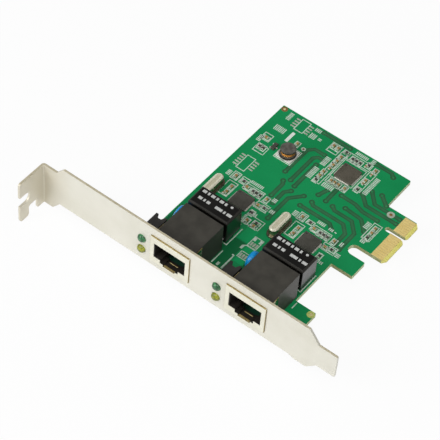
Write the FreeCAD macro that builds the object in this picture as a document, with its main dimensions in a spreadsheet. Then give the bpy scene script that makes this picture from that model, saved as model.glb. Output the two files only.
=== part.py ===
import FreeCAD, Part
import math
import os
import Sketcher

# Dual-port gigabit network interface card with a full-height bracket, in mm.
#
# Everything is drawn from the card's own datum: X = 0 is the seat of the bracket's
# screw tab, Y = 0 is the bracket's outer face, Z = 0 is the long lower edge of the
# bracket. +X runs down the slot, +Y into the machine, +Z is the component side.
# The datum cells then move every piece, so the card's box is centred over the origin
# and its lowest point is at Z = 0.

doc = FreeCAD.newDocument("network_interface_card")

DIMENSIONS = {
    # Datum: middle of the box in X and Y, and its lowest point.
    "datum_x": 59.14,
    "datum_y": 35.55,
    "datum_z": -3.8,
    # Bracket: pressed steel, 120.0 overall, 18.42 wide, 0.86 thick.
    "sheet": 0.86,
    "strip_width": 18.42,
    "bracket_end": 119.14,
    "neck_low": -3.8,
    "neck_high": 15.0,
    "neck_low_end": 3.8,
    "neck_low_step": 6.8,
    "neck_high_end": 5.5,
    "neck_high_step": 8.4,
    "taper_start": 108.0,
    "taper_end": 112.1,
    "tongue_low": 3.05,
    "tongue_high": 13.3,
    "bump_start": 101.6,
    "bump_flat": 103.6,
    "bump_end": 108.4,
    "bump_drop": 0.8,
    "tab_reach": 12.0,
    "screw_slot_z": 6.0,
    "screw_slot_width": 4.4,
    "screw_slot_depth": 5.0,
    "lobe_inner": 7.7,
    "tooth_outer": 3.4,
    "relief_top": 1.0,
    "tab_corner": 1.1,
    "sheet_corner": 0.6,
    "fold_outer_radius": 1.15,
    "fold_inner_radius": 0.35,
    "port_hole_margin": 0.15,
    "led_hole_radius": 1.65,
    # Ears folded back under the board, and the screws that hold it on them.
    "ear_width": 7.5,
    "ear_reach": 9.5,
    "screw_x": 65.7,
    "screw_y": 5.6,
    "screw_pitch": 30.6,
    "screw_radius": 1.5,
    "screw_head_radius": 2.8,
    "screw_head_height": 1.7,
    "screw_tail": 0.3,
    "recess_width": 0.75,
    "recess_span": 2.9,
    "recess_depth": 1.0,
    # Printed circuit board, 1.6 thick.
    "board_low": 1.2,
    "board_thickness": 1.6,
    "board_top": 2.8,
    "board_left": 38.3,
    "board_right": 92.0,
    "board_front": 1.2,
    "board_back": 83.1,
    "flag_right": 100.2,
    "flag_back": 16.7,
    "hook_front": 36.5,
    "hook_right": 100.3,
    "hook_back": 43.85,
    "edge_front": 48.25,
    "edge_back": 68.93,
    "edge_end": 105.2,
    "edge_corner": 1.3,
    "edge_bevel": 1.2,
    "edge_bevel_rise": 0.45,
    "key_y": 60.45,
    "key_radius": 0.95,
    "key_bottom": 97.95,
    "throat_bottom": 94.6,
    "board_corner": 0.4,
    # Gold fingers: eighteen a side at 1 mm pitch, with the key between 11 and 12.
    "finger_width": 0.7,
    "finger_thickness": 0.05,
    "finger_pitch": 1.0,
    "finger_start": 99.7,
    "finger_end": 103.9,
    "finger_key_gap": 1.5,
    # Ports: two 8P8C jacks, latch side towards the board.
    "port_pitch": 30.5,
    "port_one": 53.35,
    "shell_width": 15.8,
    "shell_front": -0.5,
    "shell_sheet": 0.25,
    "shell_top": 14.95,
    "wing_back": 6.4,
    "shell_corner": 0.4,
    "lip_back": 1.3,
    "housing_width": 15.3,
    "housing_back": 17.9,
    "housing_top": 14.9,
    "mouth_width": 12.7,
    "mouth_low": 5.3,
    "mouth_high": 12.1,
    "latch_width": 7.4,
    "latch_low": 3.95,
    "key_width": 4.9,
    "key_low": 3.3,
    "cavity_width": 12.1,
    "cavity_back": 12.2,
    "floor_window_front": 3.3,
    "floor_window_back": 9.0,
    "post_spacing": 11.43,
    "post_y": 9.0,
    "post_radius": 1.6,
    "carrier_width": 11.6,
    "carrier_low": 12.3,
    "carrier_top": 13.9,
    "carrier_front": 3.2,
    "carrier_back": 17.4,
    "well_front": 13.2,
    "wire_size": 0.36,
    "wire_pitch": 1.02,
    "wire_high": 13.2,
    "wire_low": 12.45,
    "wire_front": 2.4,
    "bay_front": 1.9,
    "wire_tip_y": 9.6,
    "wire_tip_z": 9.3,
    "lead_row_one": 14.0,
    "lead_row_two": 16.5,
    "lead_tail": 0.9,
    "lead_hole_radius": 0.4,
    # Status lamps: a 3 mm green one over a 3 mm yellow one beside each port.
    "lamp_one": 41.72,
    "lamp_pitch": 30.5,
    "lamp_low": 4.95,
    "lamp_high": 10.2,
    "lamp_radius": 1.5,
    "lamp_front": 0.0,
    "lamp_back": 5.4,
    "lamp_holder_width": 4.4,
    "lamp_holder_front": 0.95,
    "lamp_holder_back": 10.2,
    "lamp_holder_top": 12.0,
    "lamp_chamber_front": 5.2,
    "lamp_chamber_width": 3.3,
    "lamp_chamber_top": 11.2,
    "lamp_notch": 1.4,
    "lamp_lead": 0.5,
    "lamp_lead_pitch": 2.54,
    "lamp_lead_low_y": 7.3,
    "lamp_lead_high_y": 9.2,
    # Isolation transformers behind the jacks.
    "magnetics_one": 52.3,
    "magnetics_width": 16.3,
    "magnetics_front": 20.7,
    "magnetics_back": 28.8,
    "magnetics_low": 3.2,
    "magnetics_top": 12.65,
    "magnetics_chamfer": 0.5,
    "magnetics_lead_pitch": 1.27,
    "magnetics_lead_width": 0.5,
    "magnetics_lead_sheet": 0.25,
    "magnetics_lead_exit": 4.6,
    "magnetics_lead_foot": 1.0,
    # Flat chip packages.
    "chip_top": 3.75,
    "chip_gap": 0.05,
    "transceiver_one_x": 53.5,
    "transceiver_two_x": 81.2,
    "transceiver_y": 38.4,
    "transceiver_size": 6.6,
    "switch_x": 74.0,
    "switch_y": 71.2,
    "switch_size": 7.0,
    "chip_pad_pitch": 0.5,
    "chip_pad_width": 0.26,
    "chip_pad_length": 0.55,
    "chip_pad_height": 0.25,
    # Quartz crystals, low flat-oval cans on insulators.
    "crystal_one_x": 42.7,
    "crystal_one_y": 36.4,
    "crystal_two_x": 70.0,
    "crystal_two_y": 37.5,
    "crystal_length": 10.2,
    "crystal_width": 3.1,
    "crystal_rim": 0.6,
    "crystal_rim_height": 0.45,
    "crystal_crown": 0.45,
    "crystal_low": 3.1,
    "crystal_top": 6.5,
    "crystal_lead_spacing": 4.88,
    "crystal_lead_radius": 0.22,
    # Blue disc capacitors beside the jacks.
    "disc_one_x": 42.8,
    "disc_pitch": 30.5,
    "disc_y": 17.9,
    "disc_z": 7.2,
    "disc_radius": 3.3,
    "disc_edge": 0.6,
    "disc_half": 1.15,
    "disc_lead_spacing": 5.0,
    "disc_lead_radius": 0.3,
    # Power inductor: drum core wound with copper on a terminal base.
    "inductor_x": 53.0,
    "inductor_y": 65.2,
    "inductor_radius": 2.75,
    "inductor_waist": 1.7,
    "inductor_flange": 0.6,
    "inductor_low": 3.4,
    "inductor_top": 6.3,
    "winding_radius": 2.45,
    "inductor_base_side": 6.2,
    # Regulator in a three-lead package.
    "regulator_x": 47.5,
    "regulator_y": 65.0,
    "regulator_length": 2.9,
    "regulator_width": 1.4,
    "regulator_top": 3.85,
    "regulator_lead": 0.42,
    "regulator_lead_reach": 0.55,
    "regulator_lead_pitch": 0.95,
    # Chip capacitors and resistors.
    "chip_length": 1.6,
    "chip_width": 0.8,
    "capacitor_height": 0.75,
    "resistor_height": 0.45,
    "terminal_length": 0.32,
}

sheet = doc.addObject("Spreadsheet::Sheet", "Dim")
for row, (alias, value) in enumerate(DIMENSIONS.items(), start=1):
    sheet.set("A%d" % row, alias.replace("_", " "))
    sheet.set("B%d" % row, str(value))
    sheet.setAlias("B%d" % row, alias)
doc.recompute()

TOWARDS_BACK = True


def place(piece):
    """Move a finished piece from the card's datum to the model's origin."""
    for axis in "xyz":
        piece.setExpression("Placement.Base." + axis, "-Dim.datum_" + axis)


def new_body(label):
    body = doc.addObject("PartDesign::Body", label)
    body.Label = label
    place(body)
    return body


def new_sketch(body, plane, level="0", across="0", up="0"):
    """Sketch parallel to an origin plane of its own body, moved by bound offsets."""
    sketch = body.newObject("Sketcher::SketchObject", body.Name + "_sketch")
    origin_plane = [o for o in body.Origin.OriginFeatures if o.Role == plane][0]
    sketch.AttachmentSupport = (origin_plane, [""])
    sketch.MapMode = "FlatFace"
    sketch.setExpression("AttachmentOffset.Base.x", across)
    sketch.setExpression("AttachmentOffset.Base.y", up)
    sketch.setExpression("AttachmentOffset.Base.z", level)
    return sketch


def bind_points(sketch, targets):
    """Tie points of the sketch to expressions: each target is (edge, point, x, y)."""
    rules = []
    expressions = []
    for edge, corner, x, y in targets:
        drawn = sketch.getPoint(edge, corner)
        for kind, start, expression in (("DistanceX", drawn.x, x), ("DistanceY", drawn.y, y)):
            if expression is not None:
                rules.append(Sketcher.Constraint(kind, edge, corner, start))
                expressions.append(expression)
    for index, expression in zip(sketch.addConstraint(rules), expressions):
        sketch.setExpression("Constraints[%d]" % index, expression)


def polygon(sketch, corners):
    """Closed outline whose corners are pairs of expressions."""
    first = sketch.GeometryCount
    count = len(corners)
    turn = 2 * math.pi / count
    ring = [FreeCAD.Vector(math.cos(i * turn), math.sin(i * turn), 0) for i in range(count)]
    sketch.addGeometry([Part.LineSegment(ring[i], ring[(i + 1) % count]) for i in range(count)])
    joints = [
        Sketcher.Constraint("Coincident", first + i, 2, first + (i + 1) % count, 1)
        for i in range(count)
    ]
    sketch.addConstraint(joints)
    bind_points(sketch, [(first + i, 1, x, y) for i, (x, y) in enumerate(corners)])


def rectangle(sketch, left, low, right, high):
    polygon(sketch, [(left, low), (right, low), (right, high), (left, high)])


def box_at(sketch, x, y, width, length):
    """Rectangle centred on a point, all sizes as expressions."""
    rectangle(
        sketch,
        "%s - (%s) / 2" % (x, width),
        "%s - (%s) / 2" % (y, length),
        "%s + (%s) / 2" % (x, width),
        "%s + (%s) / 2" % (y, length),
    )


def circle(sketch, x, y, radius):
    edge = sketch.addGeometry(Part.Circle(FreeCAD.Vector(5, 5, 0), FreeCAD.Vector(0, 0, 1), 1))
    bind_points(sketch, [(edge, 3, x, y)])
    index = sketch.addConstraint(Sketcher.Constraint("Radius", edge, 1.0))
    sketch.setExpression("Constraints[%d]" % index, radius)


def many_sided(sketch, x, y, radius, sides):
    """Regular outline for a small round thing or its hole, corners on the given radius."""
    step = 2 * math.pi / sides
    polygon(sketch, [
        ("%s + (%s) * %.6f" % (x, radius, math.cos(corner * step)),
         "%s + (%s) * %.6f" % (y, radius, math.sin(corner * step)))
        for corner in range(sides)
    ])


def open_slot(sketch, bottom, mouth, middle, radius, outward):
    """Slot along the sketch's X: round at its bottom, square at its mouth.

    outward is 1 when the mouth lies on the +X side of the bottom, and -1 otherwise.
    """
    start = FreeCAD.Vector(0, outward, 0)
    reach = FreeCAD.Vector(4 * outward, 0, 0)
    ring = Part.Circle(FreeCAD.Vector(), FreeCAD.Vector(0, 0, 1), 1)
    first_angle = outward * math.pi / 2
    first = sketch.GeometryCount
    sketch.addGeometry([
        Part.ArcOfCircle(ring, first_angle, first_angle + math.pi),
        Part.LineSegment(start, start + reach),
        Part.LineSegment(start + reach, -start + reach),
        Part.LineSegment(-start + reach, -start),
    ])
    sketch.addConstraint([
        Sketcher.Constraint("Coincident", first, 1, first + 1, 1),
        Sketcher.Constraint("Coincident", first + 1, 2, first + 2, 1),
        Sketcher.Constraint("Coincident", first + 2, 2, first + 3, 1),
        Sketcher.Constraint("Coincident", first + 3, 2, first, 2),
    ])
    start_side = "%s + %d * (%s)" % (middle, outward, radius)
    end_side = "%s - %d * (%s)" % (middle, outward, radius)
    bind_points(sketch, [
        (first, 1, bottom, start_side),
        (first, 2, bottom, end_side),
        (first, 3, bottom, None),
        (first + 1, 2, mouth, start_side),
        (first + 2, 2, mouth, end_side),
    ])


def pad(body, sketch, length, reverse=False):
    """Extrude a sketch by a bound length. The solid must grow."""
    before = body.Shape.Volume if not body.Shape.isNull() else 0.0
    feature = body.newObject("PartDesign::Pad", body.Name + "_pad")
    feature.Profile = sketch
    feature.setExpression("Length", length)
    feature.Reversed = reverse
    sketch.Visibility = False
    doc.recompute()
    if body.Shape.Volume <= before:
        raise RuntimeError(body.Label + ": pad adds nothing")
    return feature


def pocket(body, sketch, length=None, reverse=False):
    """Cut a sketch through the solid, or to a bound depth. The solid must shrink."""
    before = body.Shape.Volume
    feature = body.newObject("PartDesign::Pocket", body.Name + "_pocket")
    feature.Profile = sketch
    if length is None:
        feature.Type = "ThroughAll"
        feature.Midplane = True
    else:
        feature.setExpression("Length", length)
        feature.Reversed = reverse
    sketch.Visibility = False
    doc.recompute()
    if body.Shape.Volume >= before:
        raise RuntimeError(body.Label + ": pocket removes nothing")
    return feature


def x_axis_of(body):
    return [o for o in body.Origin.OriginFeatures if o.Role == "X_Axis"][0]


def pattern(body, feature, direction, pitch, count):
    """Repeat a feature in a row."""
    row = body.newObject("PartDesign::LinearPattern", body.Name + "_pattern")
    row.Originals = [feature]
    row.Direction = direction
    row.Mode = "Spacing"
    row.setExpression("Offset", pitch)
    row.Occurrences = count
    body.Tip = row
    doc.recompute()
    return row


def edges_along(body, axis, points):
    """Names of the straight edges of a body that run along an axis through points."""
    names = []
    for index, edge in enumerate(body.Tip.Shape.Edges, start=1):
        if edge.Curve.TypeId != "Part::GeomLine":
            continue
        if abs(abs(edge.tangentAt(edge.FirstParameter).dot(axis)) - 1) > 1e-6:
            continue
        for point in points:
            offset = edge.CenterOfMass - point
            if (offset - axis * offset.dot(axis)).Length < 0.02:
                names.append("Edge%d" % index)
    return names


def dress(body, kind, axis, points, size):
    """Fillet or chamfer the edges that run along an axis through the given points."""
    names = edges_along(body, axis, points)
    if len(names) < len(points):
        raise RuntimeError(body.Label + ": an edge to dress is missing")
    dressed = body.Tip
    feature = body.newObject("PartDesign::" + kind, body.Name + "_" + kind.lower())
    feature.Base = (dressed, names)
    if kind == "Fillet":
        feature.setExpression("Radius", size)
    else:
        feature.setExpression("Size", size)
    doc.recompute()
    if not feature.isValid():
        raise RuntimeError(body.Label + ": dressing failed")
    return feature


def point(x=0.0, y=0.0, z=0.0):
    """Point whose coordinates are cells, signed cells or plain numbers."""
    numbers = []
    for entry in (x, y, z):
        if isinstance(entry, str):
            sign = -1.0 if entry.startswith("-") else 1.0
            numbers.append(sign * float(sheet.get(entry.lstrip("-"))))
        else:
            numbers.append(float(entry))
    return FreeCAD.Vector(*numbers)


LEAD_SIDES = 8
POST_SIDES = 12
AXIS_X = FreeCAD.Vector(1, 0, 0)
AXIS_Y = FreeCAD.Vector(0, 1, 0)
AXIS_Z = FreeCAD.Vector(0, 0, 1)

# ---------------------------------------------------------------- bracket
# One folded sheet: the faceplate with its tongue, the screw tab folded out at the
# top, and two ears folded back under the board.
bracket = new_body("bracket")
faceplate = new_sketch(bracket, "XZ_Plane")
polygon(faceplate, [
    ("-Dim.sheet", "Dim.neck_low"),
    ("Dim.neck_low_end", "Dim.neck_low"),
    ("Dim.neck_low_step", "0"),
    ("Dim.bump_start", "0"),
    ("Dim.bump_flat", "-Dim.bump_drop"),
    ("Dim.bump_end", "-Dim.bump_drop"),
    ("Dim.taper_end", "Dim.tongue_low"),
    ("Dim.bracket_end", "Dim.tongue_low"),
    ("Dim.bracket_end", "Dim.tongue_high"),
    ("Dim.taper_end", "Dim.tongue_high"),
    ("Dim.taper_start", "Dim.strip_width"),
    ("Dim.neck_high_step", "Dim.strip_width"),
    ("Dim.neck_high_end", "Dim.neck_high"),
    ("-Dim.sheet", "Dim.neck_high"),
])
pad(bracket, faceplate, "Dim.sheet", TOWARDS_BACK)

tab = new_sketch(bracket, "YZ_Plane", "-Dim.sheet")
polygon(tab, [
    ("Dim.sheet", "Dim.neck_high"),
    ("-Dim.tab_reach", "Dim.neck_high"),
    ("-Dim.tab_reach", "Dim.neck_low"),
    ("-Dim.lobe_inner", "Dim.neck_low"),
    ("-Dim.lobe_inner", "Dim.relief_top"),
    ("-Dim.tooth_outer", "Dim.relief_top"),
    ("-Dim.tooth_outer", "Dim.neck_low"),
    ("Dim.sheet", "Dim.neck_low"),
])
pad(bracket, tab, "Dim.sheet")

ears = new_sketch(bracket, "XY_Plane", "Dim.board_low - Dim.sheet")
for place_x in ("Dim.screw_x", "Dim.screw_x + Dim.screw_pitch"):
    rectangle(
        ears,
        place_x + " - Dim.ear_width / 2",
        "Dim.sheet / 2",
        place_x + " + Dim.ear_width / 2",
        "Dim.ear_reach",
    )
pad(bracket, ears, "Dim.sheet")

screw_slot = new_sketch(bracket, "YZ_Plane")
open_slot(
    screw_slot,
    "-Dim.tab_reach + Dim.screw_slot_depth - Dim.screw_slot_width / 2",
    "-Dim.tab_reach - 2",
    "Dim.screw_slot_z",
    "Dim.screw_slot_width / 2",
    -1,
)
pocket(bracket, screw_slot)

faceplate_holes = new_sketch(bracket, "XZ_Plane")
for port_centre in ("Dim.port_one", "Dim.port_one + Dim.port_pitch"):
    rectangle(
        faceplate_holes,
        port_centre + " - Dim.shell_width / 2 - Dim.port_hole_margin",
        "Dim.board_top - Dim.port_hole_margin",
        port_centre + " + Dim.shell_width / 2 + Dim.port_hole_margin",
        "Dim.shell_top + Dim.port_hole_margin",
    )
for lamp_centre in ("Dim.lamp_one", "Dim.lamp_one + Dim.lamp_pitch"):
    for lamp_level in ("Dim.lamp_low", "Dim.lamp_high"):
        circle(faceplate_holes, lamp_centre, lamp_level, "Dim.led_hole_radius")
pocket(bracket, faceplate_holes)

ear_holes = new_sketch(bracket, "XY_Plane")
circle(ear_holes, "Dim.screw_x", "Dim.screw_y", "Dim.screw_radius")
circle(ear_holes, "Dim.screw_x + Dim.screw_pitch", "Dim.screw_y", "Dim.screw_radius")
pocket(bracket, ear_holes)

dress(bracket, "Fillet", AXIS_Z, [point("-sheet", "sheet")], "Dim.fold_outer_radius")
dress(bracket, "Fillet", AXIS_Z, [point(0, 0)], "Dim.fold_inner_radius")
tab_corners = [
    point(0, "-tab_reach", "neck_high"),
    point(0, "-tab_reach", "neck_low"),
    point(0, "-lobe_inner", "neck_low"),
    point(0, "-lobe_inner", "relief_top"),
]
dress(bracket, "Fillet", AXIS_X, tab_corners, "Dim.tab_corner")
dress(bracket, "Fillet", AXIS_X, [point(0, "-tooth_outer", "neck_low")], "Dim.sheet_corner")
plate_corners = [
    point("bracket_end", 0, "tongue_low"),
    point("bracket_end", 0, "tongue_high"),
    point("bump_flat", 0, "-bump_drop"),
    point("bump_end", 0, "-bump_drop"),
    point("taper_start", 0, "strip_width"),
    point("neck_high_step", 0, "strip_width"),
    point("neck_high_end", 0, "neck_high"),
    point("neck_low_end", 0, "neck_low"),
]
dress(bracket, "Fillet", AXIS_Y, plate_corners, "Dim.sheet_corner")

# ---------------------------------------------------------------- bracket screws
# Two cross-recess screws with tapered heads, from the component side into the ears' threads.
screws = new_body("bracket_screws")
screw_profile = new_sketch(screws, "XZ_Plane", "-Dim.screw_y", "Dim.screw_x")
polygon(screw_profile, [
    ("0", "Dim.board_low - Dim.sheet - Dim.screw_tail"),
    ("Dim.screw_radius", "Dim.board_low - Dim.sheet - Dim.screw_tail"),
    ("Dim.screw_radius", "Dim.board_top"),
    ("Dim.screw_head_radius", "Dim.board_top"),
    ("Dim.screw_head_radius * 0.8", "Dim.board_top + Dim.screw_head_height"),
    ("0", "Dim.board_top + Dim.screw_head_height"),
])
screw = screws.newObject("PartDesign::Revolution", "screw")
screw.Profile = screw_profile
screw.ReferenceAxis = (screw_profile, ["V_Axis"])
screw.Angle = 360
doc.recompute()
recess = new_sketch(screws, "XY_Plane", "Dim.board_top + Dim.screw_head_height", "Dim.screw_x", "Dim.screw_y")
arm = "Dim.recess_width / 2"
tip = "Dim.recess_span / 2"
polygon(recess, [
    ("-" + tip, "-" + arm),
    ("-" + arm, "-" + arm),
    ("-" + arm, "-" + tip),
    (arm, "-" + tip),
    (arm, "-" + arm),
    (tip, "-" + arm),
    (tip, arm),
    (arm, arm),
    (arm, tip),
    ("-" + arm, tip),
    ("-" + arm, arm),
    ("-" + tip, arm),
])
cross = pocket(screws, recess, "Dim.recess_depth")
screw_pair = pattern(screws, screw, (screw_profile, ["H_Axis"]), "Dim.screw_pitch", 2)
screw_pair.Originals = [screw, cross]
doc.recompute()

# ---------------------------------------------------------------- circuit board
# FR4 with the edge connector's tongue, the hook beside it and the flag by the bracket.
board = new_body("circuit_board")
outline = new_sketch(board, "XY_Plane", "Dim.board_low")
polygon(outline, [
    ("Dim.board_left", "Dim.board_front"),
    ("Dim.flag_right", "Dim.board_front"),
    ("Dim.flag_right", "Dim.flag_back"),
    ("Dim.board_right", "Dim.flag_back"),
    ("Dim.board_right", "Dim.hook_front"),
    ("Dim.hook_right", "Dim.hook_front"),
    ("Dim.hook_right", "Dim.hook_back"),
    ("Dim.throat_bottom", "Dim.hook_back"),
    ("Dim.throat_bottom", "Dim.edge_front"),
    ("Dim.edge_end - Dim.edge_corner", "Dim.edge_front"),
    ("Dim.edge_end", "Dim.edge_front + Dim.edge_corner"),
    ("Dim.edge_end", "Dim.edge_back - Dim.edge_corner"),
    ("Dim.edge_end - Dim.edge_corner", "Dim.edge_back"),
    ("Dim.board_right", "Dim.edge_back"),
    ("Dim.board_right", "Dim.board_back"),
    ("Dim.board_left", "Dim.board_back"),
])
pad(board, outline, "Dim.board_thickness")
slots = new_sketch(board, "XY_Plane")
open_slot(slots, "Dim.throat_bottom", "Dim.throat_bottom + 1", "(Dim.hook_back + Dim.edge_front) / 2",
          "(Dim.edge_front - Dim.hook_back) / 2", 1)
open_slot(slots, "Dim.key_bottom", "Dim.edge_end + 1", "Dim.key_y", "Dim.key_radius", 1)
pocket(board, slots)
dress(board, "Chamfer", AXIS_Z, [
    point("edge_end", "key_y", 0) + FreeCAD.Vector(0, side * float(sheet.get("key_radius")), 0)
    for side in (-1, 1)
], "Dim.edge_corner / 2")
outer_corners = [
    point("flag_right", "board_front"),
    point("flag_right", "flag_back"),
    point("hook_right", "hook_front"),
    point("hook_right", "hook_back"),
    point("board_right", "board_back"),
    point("board_left", "board_back"),
]
dress(board, "Fillet", AXIS_Z, outer_corners, "Dim.board_corner")

# The tongue's leading edge is bevelled on both faces by wedges drawn from the side.
bevel = new_sketch(board, "XZ_Plane", "-(Dim.edge_front + Dim.edge_back) / 2")
polygon(bevel, [
    ("Dim.edge_end - Dim.edge_bevel", "Dim.board_top"),
    ("Dim.edge_end + 1", "Dim.board_top"),
    ("Dim.edge_end + 1", "Dim.board_top - Dim.edge_bevel_rise"),
    ("Dim.edge_end", "Dim.board_top - Dim.edge_bevel_rise"),
])
polygon(bevel, [
    ("Dim.edge_end - Dim.edge_bevel", "Dim.board_low"),
    ("Dim.edge_end", "Dim.board_low + Dim.edge_bevel_rise"),
    ("Dim.edge_end + 1", "Dim.board_low + Dim.edge_bevel_rise"),
    ("Dim.edge_end + 1", "Dim.board_low"),
])
pocket(board, bevel)

# Drilled holes for the screws and the jacks' posts, then a row for each leaded part.
# Small holes and round leads repeat often, so they are drawn with few sides.
holes = new_sketch(board, "XY_Plane")
for count in range(2):
    circle(holes, "Dim.screw_x + %d * Dim.screw_pitch" % count, "Dim.screw_y", "Dim.screw_radius")
    port = "(Dim.port_one + %d * Dim.port_pitch)" % count
    for side in ("-", "+"):
        many_sided(holes, "%s %s Dim.post_spacing / 2" % (port, side), "Dim.post_y",
                   "Dim.post_radius", POST_SIDES)
pocket(board, holes)


def lead_holes(x, y, radius, pitch, count, along="H_Axis"):
    """Row of small holes through the board, from its first one."""
    first = new_sketch(board, "XY_Plane")
    many_sided(first, x, y, radius, LEAD_SIDES)
    hole = pocket(board, first)
    pattern(board, hole, (first, [along]), pitch, count)


for count in range(2):
    port = "(Dim.port_one + %d * Dim.port_pitch)" % count
    for row, first in (("Dim.lead_row_one", "3.5"), ("Dim.lead_row_two", "2.5")):
        lead_holes("%s - %s * Dim.wire_pitch" % (port, first), row, "Dim.lead_hole_radius",
                   "2 * Dim.wire_pitch", 4)
    lamp_hole = "Dim.lamp_one + %d * Dim.lamp_pitch - Dim.lamp_lead_pitch / 2" % count
    for row in ("Dim.lamp_lead_low_y", "Dim.lamp_lead_high_y"):
        lead_holes(lamp_hole, row, "Dim.lead_hole_radius", "Dim.lamp_lead_pitch", 2)
    lead_holes("Dim.disc_one_x + %d * Dim.disc_pitch" % count, "Dim.disc_y - Dim.disc_lead_spacing / 2",
               "Dim.disc_lead_radius", "Dim.disc_lead_spacing", 2, "V_Axis")
for crystal in ("one", "two"):
    lead_holes("Dim.crystal_%s_x" % crystal, "Dim.crystal_%s_y - Dim.crystal_lead_spacing / 2" % crystal,
               "Dim.crystal_lead_radius", "Dim.crystal_lead_spacing", 2, "V_Axis")

# ---------------------------------------------------------------- gold fingers
# Eighteen contacts on each face of the tongue, split eleven and seven by the key.
for label, level in (("contacts_component_side", "Dim.board_top"),
                     ("contacts_solder_side", "Dim.board_low - Dim.finger_thickness")):
    fingers = new_body(label)
    for count, towards in ((11, -1), (7, 1)):
        finger = new_sketch(fingers, "XY_Plane", level)
        middle = "(Dim.key_y + %d * Dim.finger_key_gap)" % towards
        rectangle(finger, "Dim.finger_start", middle + " - Dim.finger_width / 2",
                  "Dim.finger_end", middle + " + Dim.finger_width / 2")
        strip = pad(fingers, finger, "Dim.finger_thickness")
        row = pattern(fingers, strip, (finger, ["V_Axis"]), "Dim.finger_pitch", count)
        row.Reversed = towards < 0
        doc.recompute()


# ---------------------------------------------------------------- ports
def mouth(sketch, centre, half_widths):
    """Stepped 8P8C opening: plug, latch channel and key, widest at the top."""
    plug, latch, key = half_widths
    polygon(sketch, [
        ("%s - %s" % (centre, key), "Dim.key_low"),
        ("%s + %s" % (centre, key), "Dim.key_low"),
        ("%s + %s" % (centre, key), "Dim.latch_low"),
        ("%s + %s" % (centre, latch), "Dim.latch_low"),
        ("%s + %s" % (centre, latch), "Dim.mouth_low"),
        ("%s + %s" % (centre, plug), "Dim.mouth_low"),
        ("%s + %s" % (centre, plug), "Dim.mouth_high"),
        ("%s - %s" % (centre, plug), "Dim.mouth_high"),
        ("%s - %s" % (centre, plug), "Dim.mouth_low"),
        ("%s - %s" % (centre, latch), "Dim.mouth_low"),
        ("%s - %s" % (centre, latch), "Dim.latch_low"),
        ("%s - %s" % (centre, key), "Dim.latch_low"),
    ])


def port_shell(number, centre):
    """Plated front shell: a pierced face, a rim round it, and two wings down the sides."""
    shell = new_body("port_%d_shell" % number)
    half = "Dim.shell_width / 2"
    rim = new_sketch(shell, "XZ_Plane", "-Dim.shell_front")
    rectangle(rim, "%s - %s" % (centre, half), "Dim.board_top", "%s + %s" % (centre, half), "Dim.shell_top")
    pad(shell, rim, "Dim.lip_back - Dim.shell_front", TOWARDS_BACK)
    hollow = new_sketch(shell, "XZ_Plane", "-Dim.shell_front - Dim.shell_sheet")
    rectangle(
        hollow,
        "%s - %s + Dim.shell_sheet" % (centre, half),
        "Dim.board_top + Dim.shell_sheet",
        "%s + %s - Dim.shell_sheet" % (centre, half),
        "Dim.shell_top - Dim.shell_sheet",
    )
    pocket(shell, hollow, "Dim.lip_back - Dim.shell_front")
    opening = new_sketch(shell, "XZ_Plane")
    mouth(opening, centre, ("Dim.mouth_width / 2", "Dim.latch_width / 2", "Dim.key_width / 2"))
    pocket(shell, opening)
    wings = new_sketch(shell, "XZ_Plane", "-Dim.lip_back")
    for side in ("-", "+"):
        outer = "%s %s %s" % (centre, side, half)
        inner = "%s %s (%s - Dim.shell_sheet)" % (centre, side, half)
        rectangle(wings, outer, "Dim.board_top", inner, "Dim.shell_top - 0.4")
    pad(shell, wings, "Dim.wing_back - Dim.lip_back", TOWARDS_BACK)
    corners = [
        FreeCAD.Vector(centre_of(number) + side * float(sheet.get("shell_width")) / 2, 0, level)
        for side in (-1, 1)
        for level in (float(sheet.get("shell_top")),)
    ]
    dress(shell, "Fillet", AXIS_Y, corners, "Dim.shell_corner")
    return shell


def centre_of(number):
    return float(sheet.get("port_one")) + (number - 1) * float(sheet.get("port_pitch"))


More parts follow.
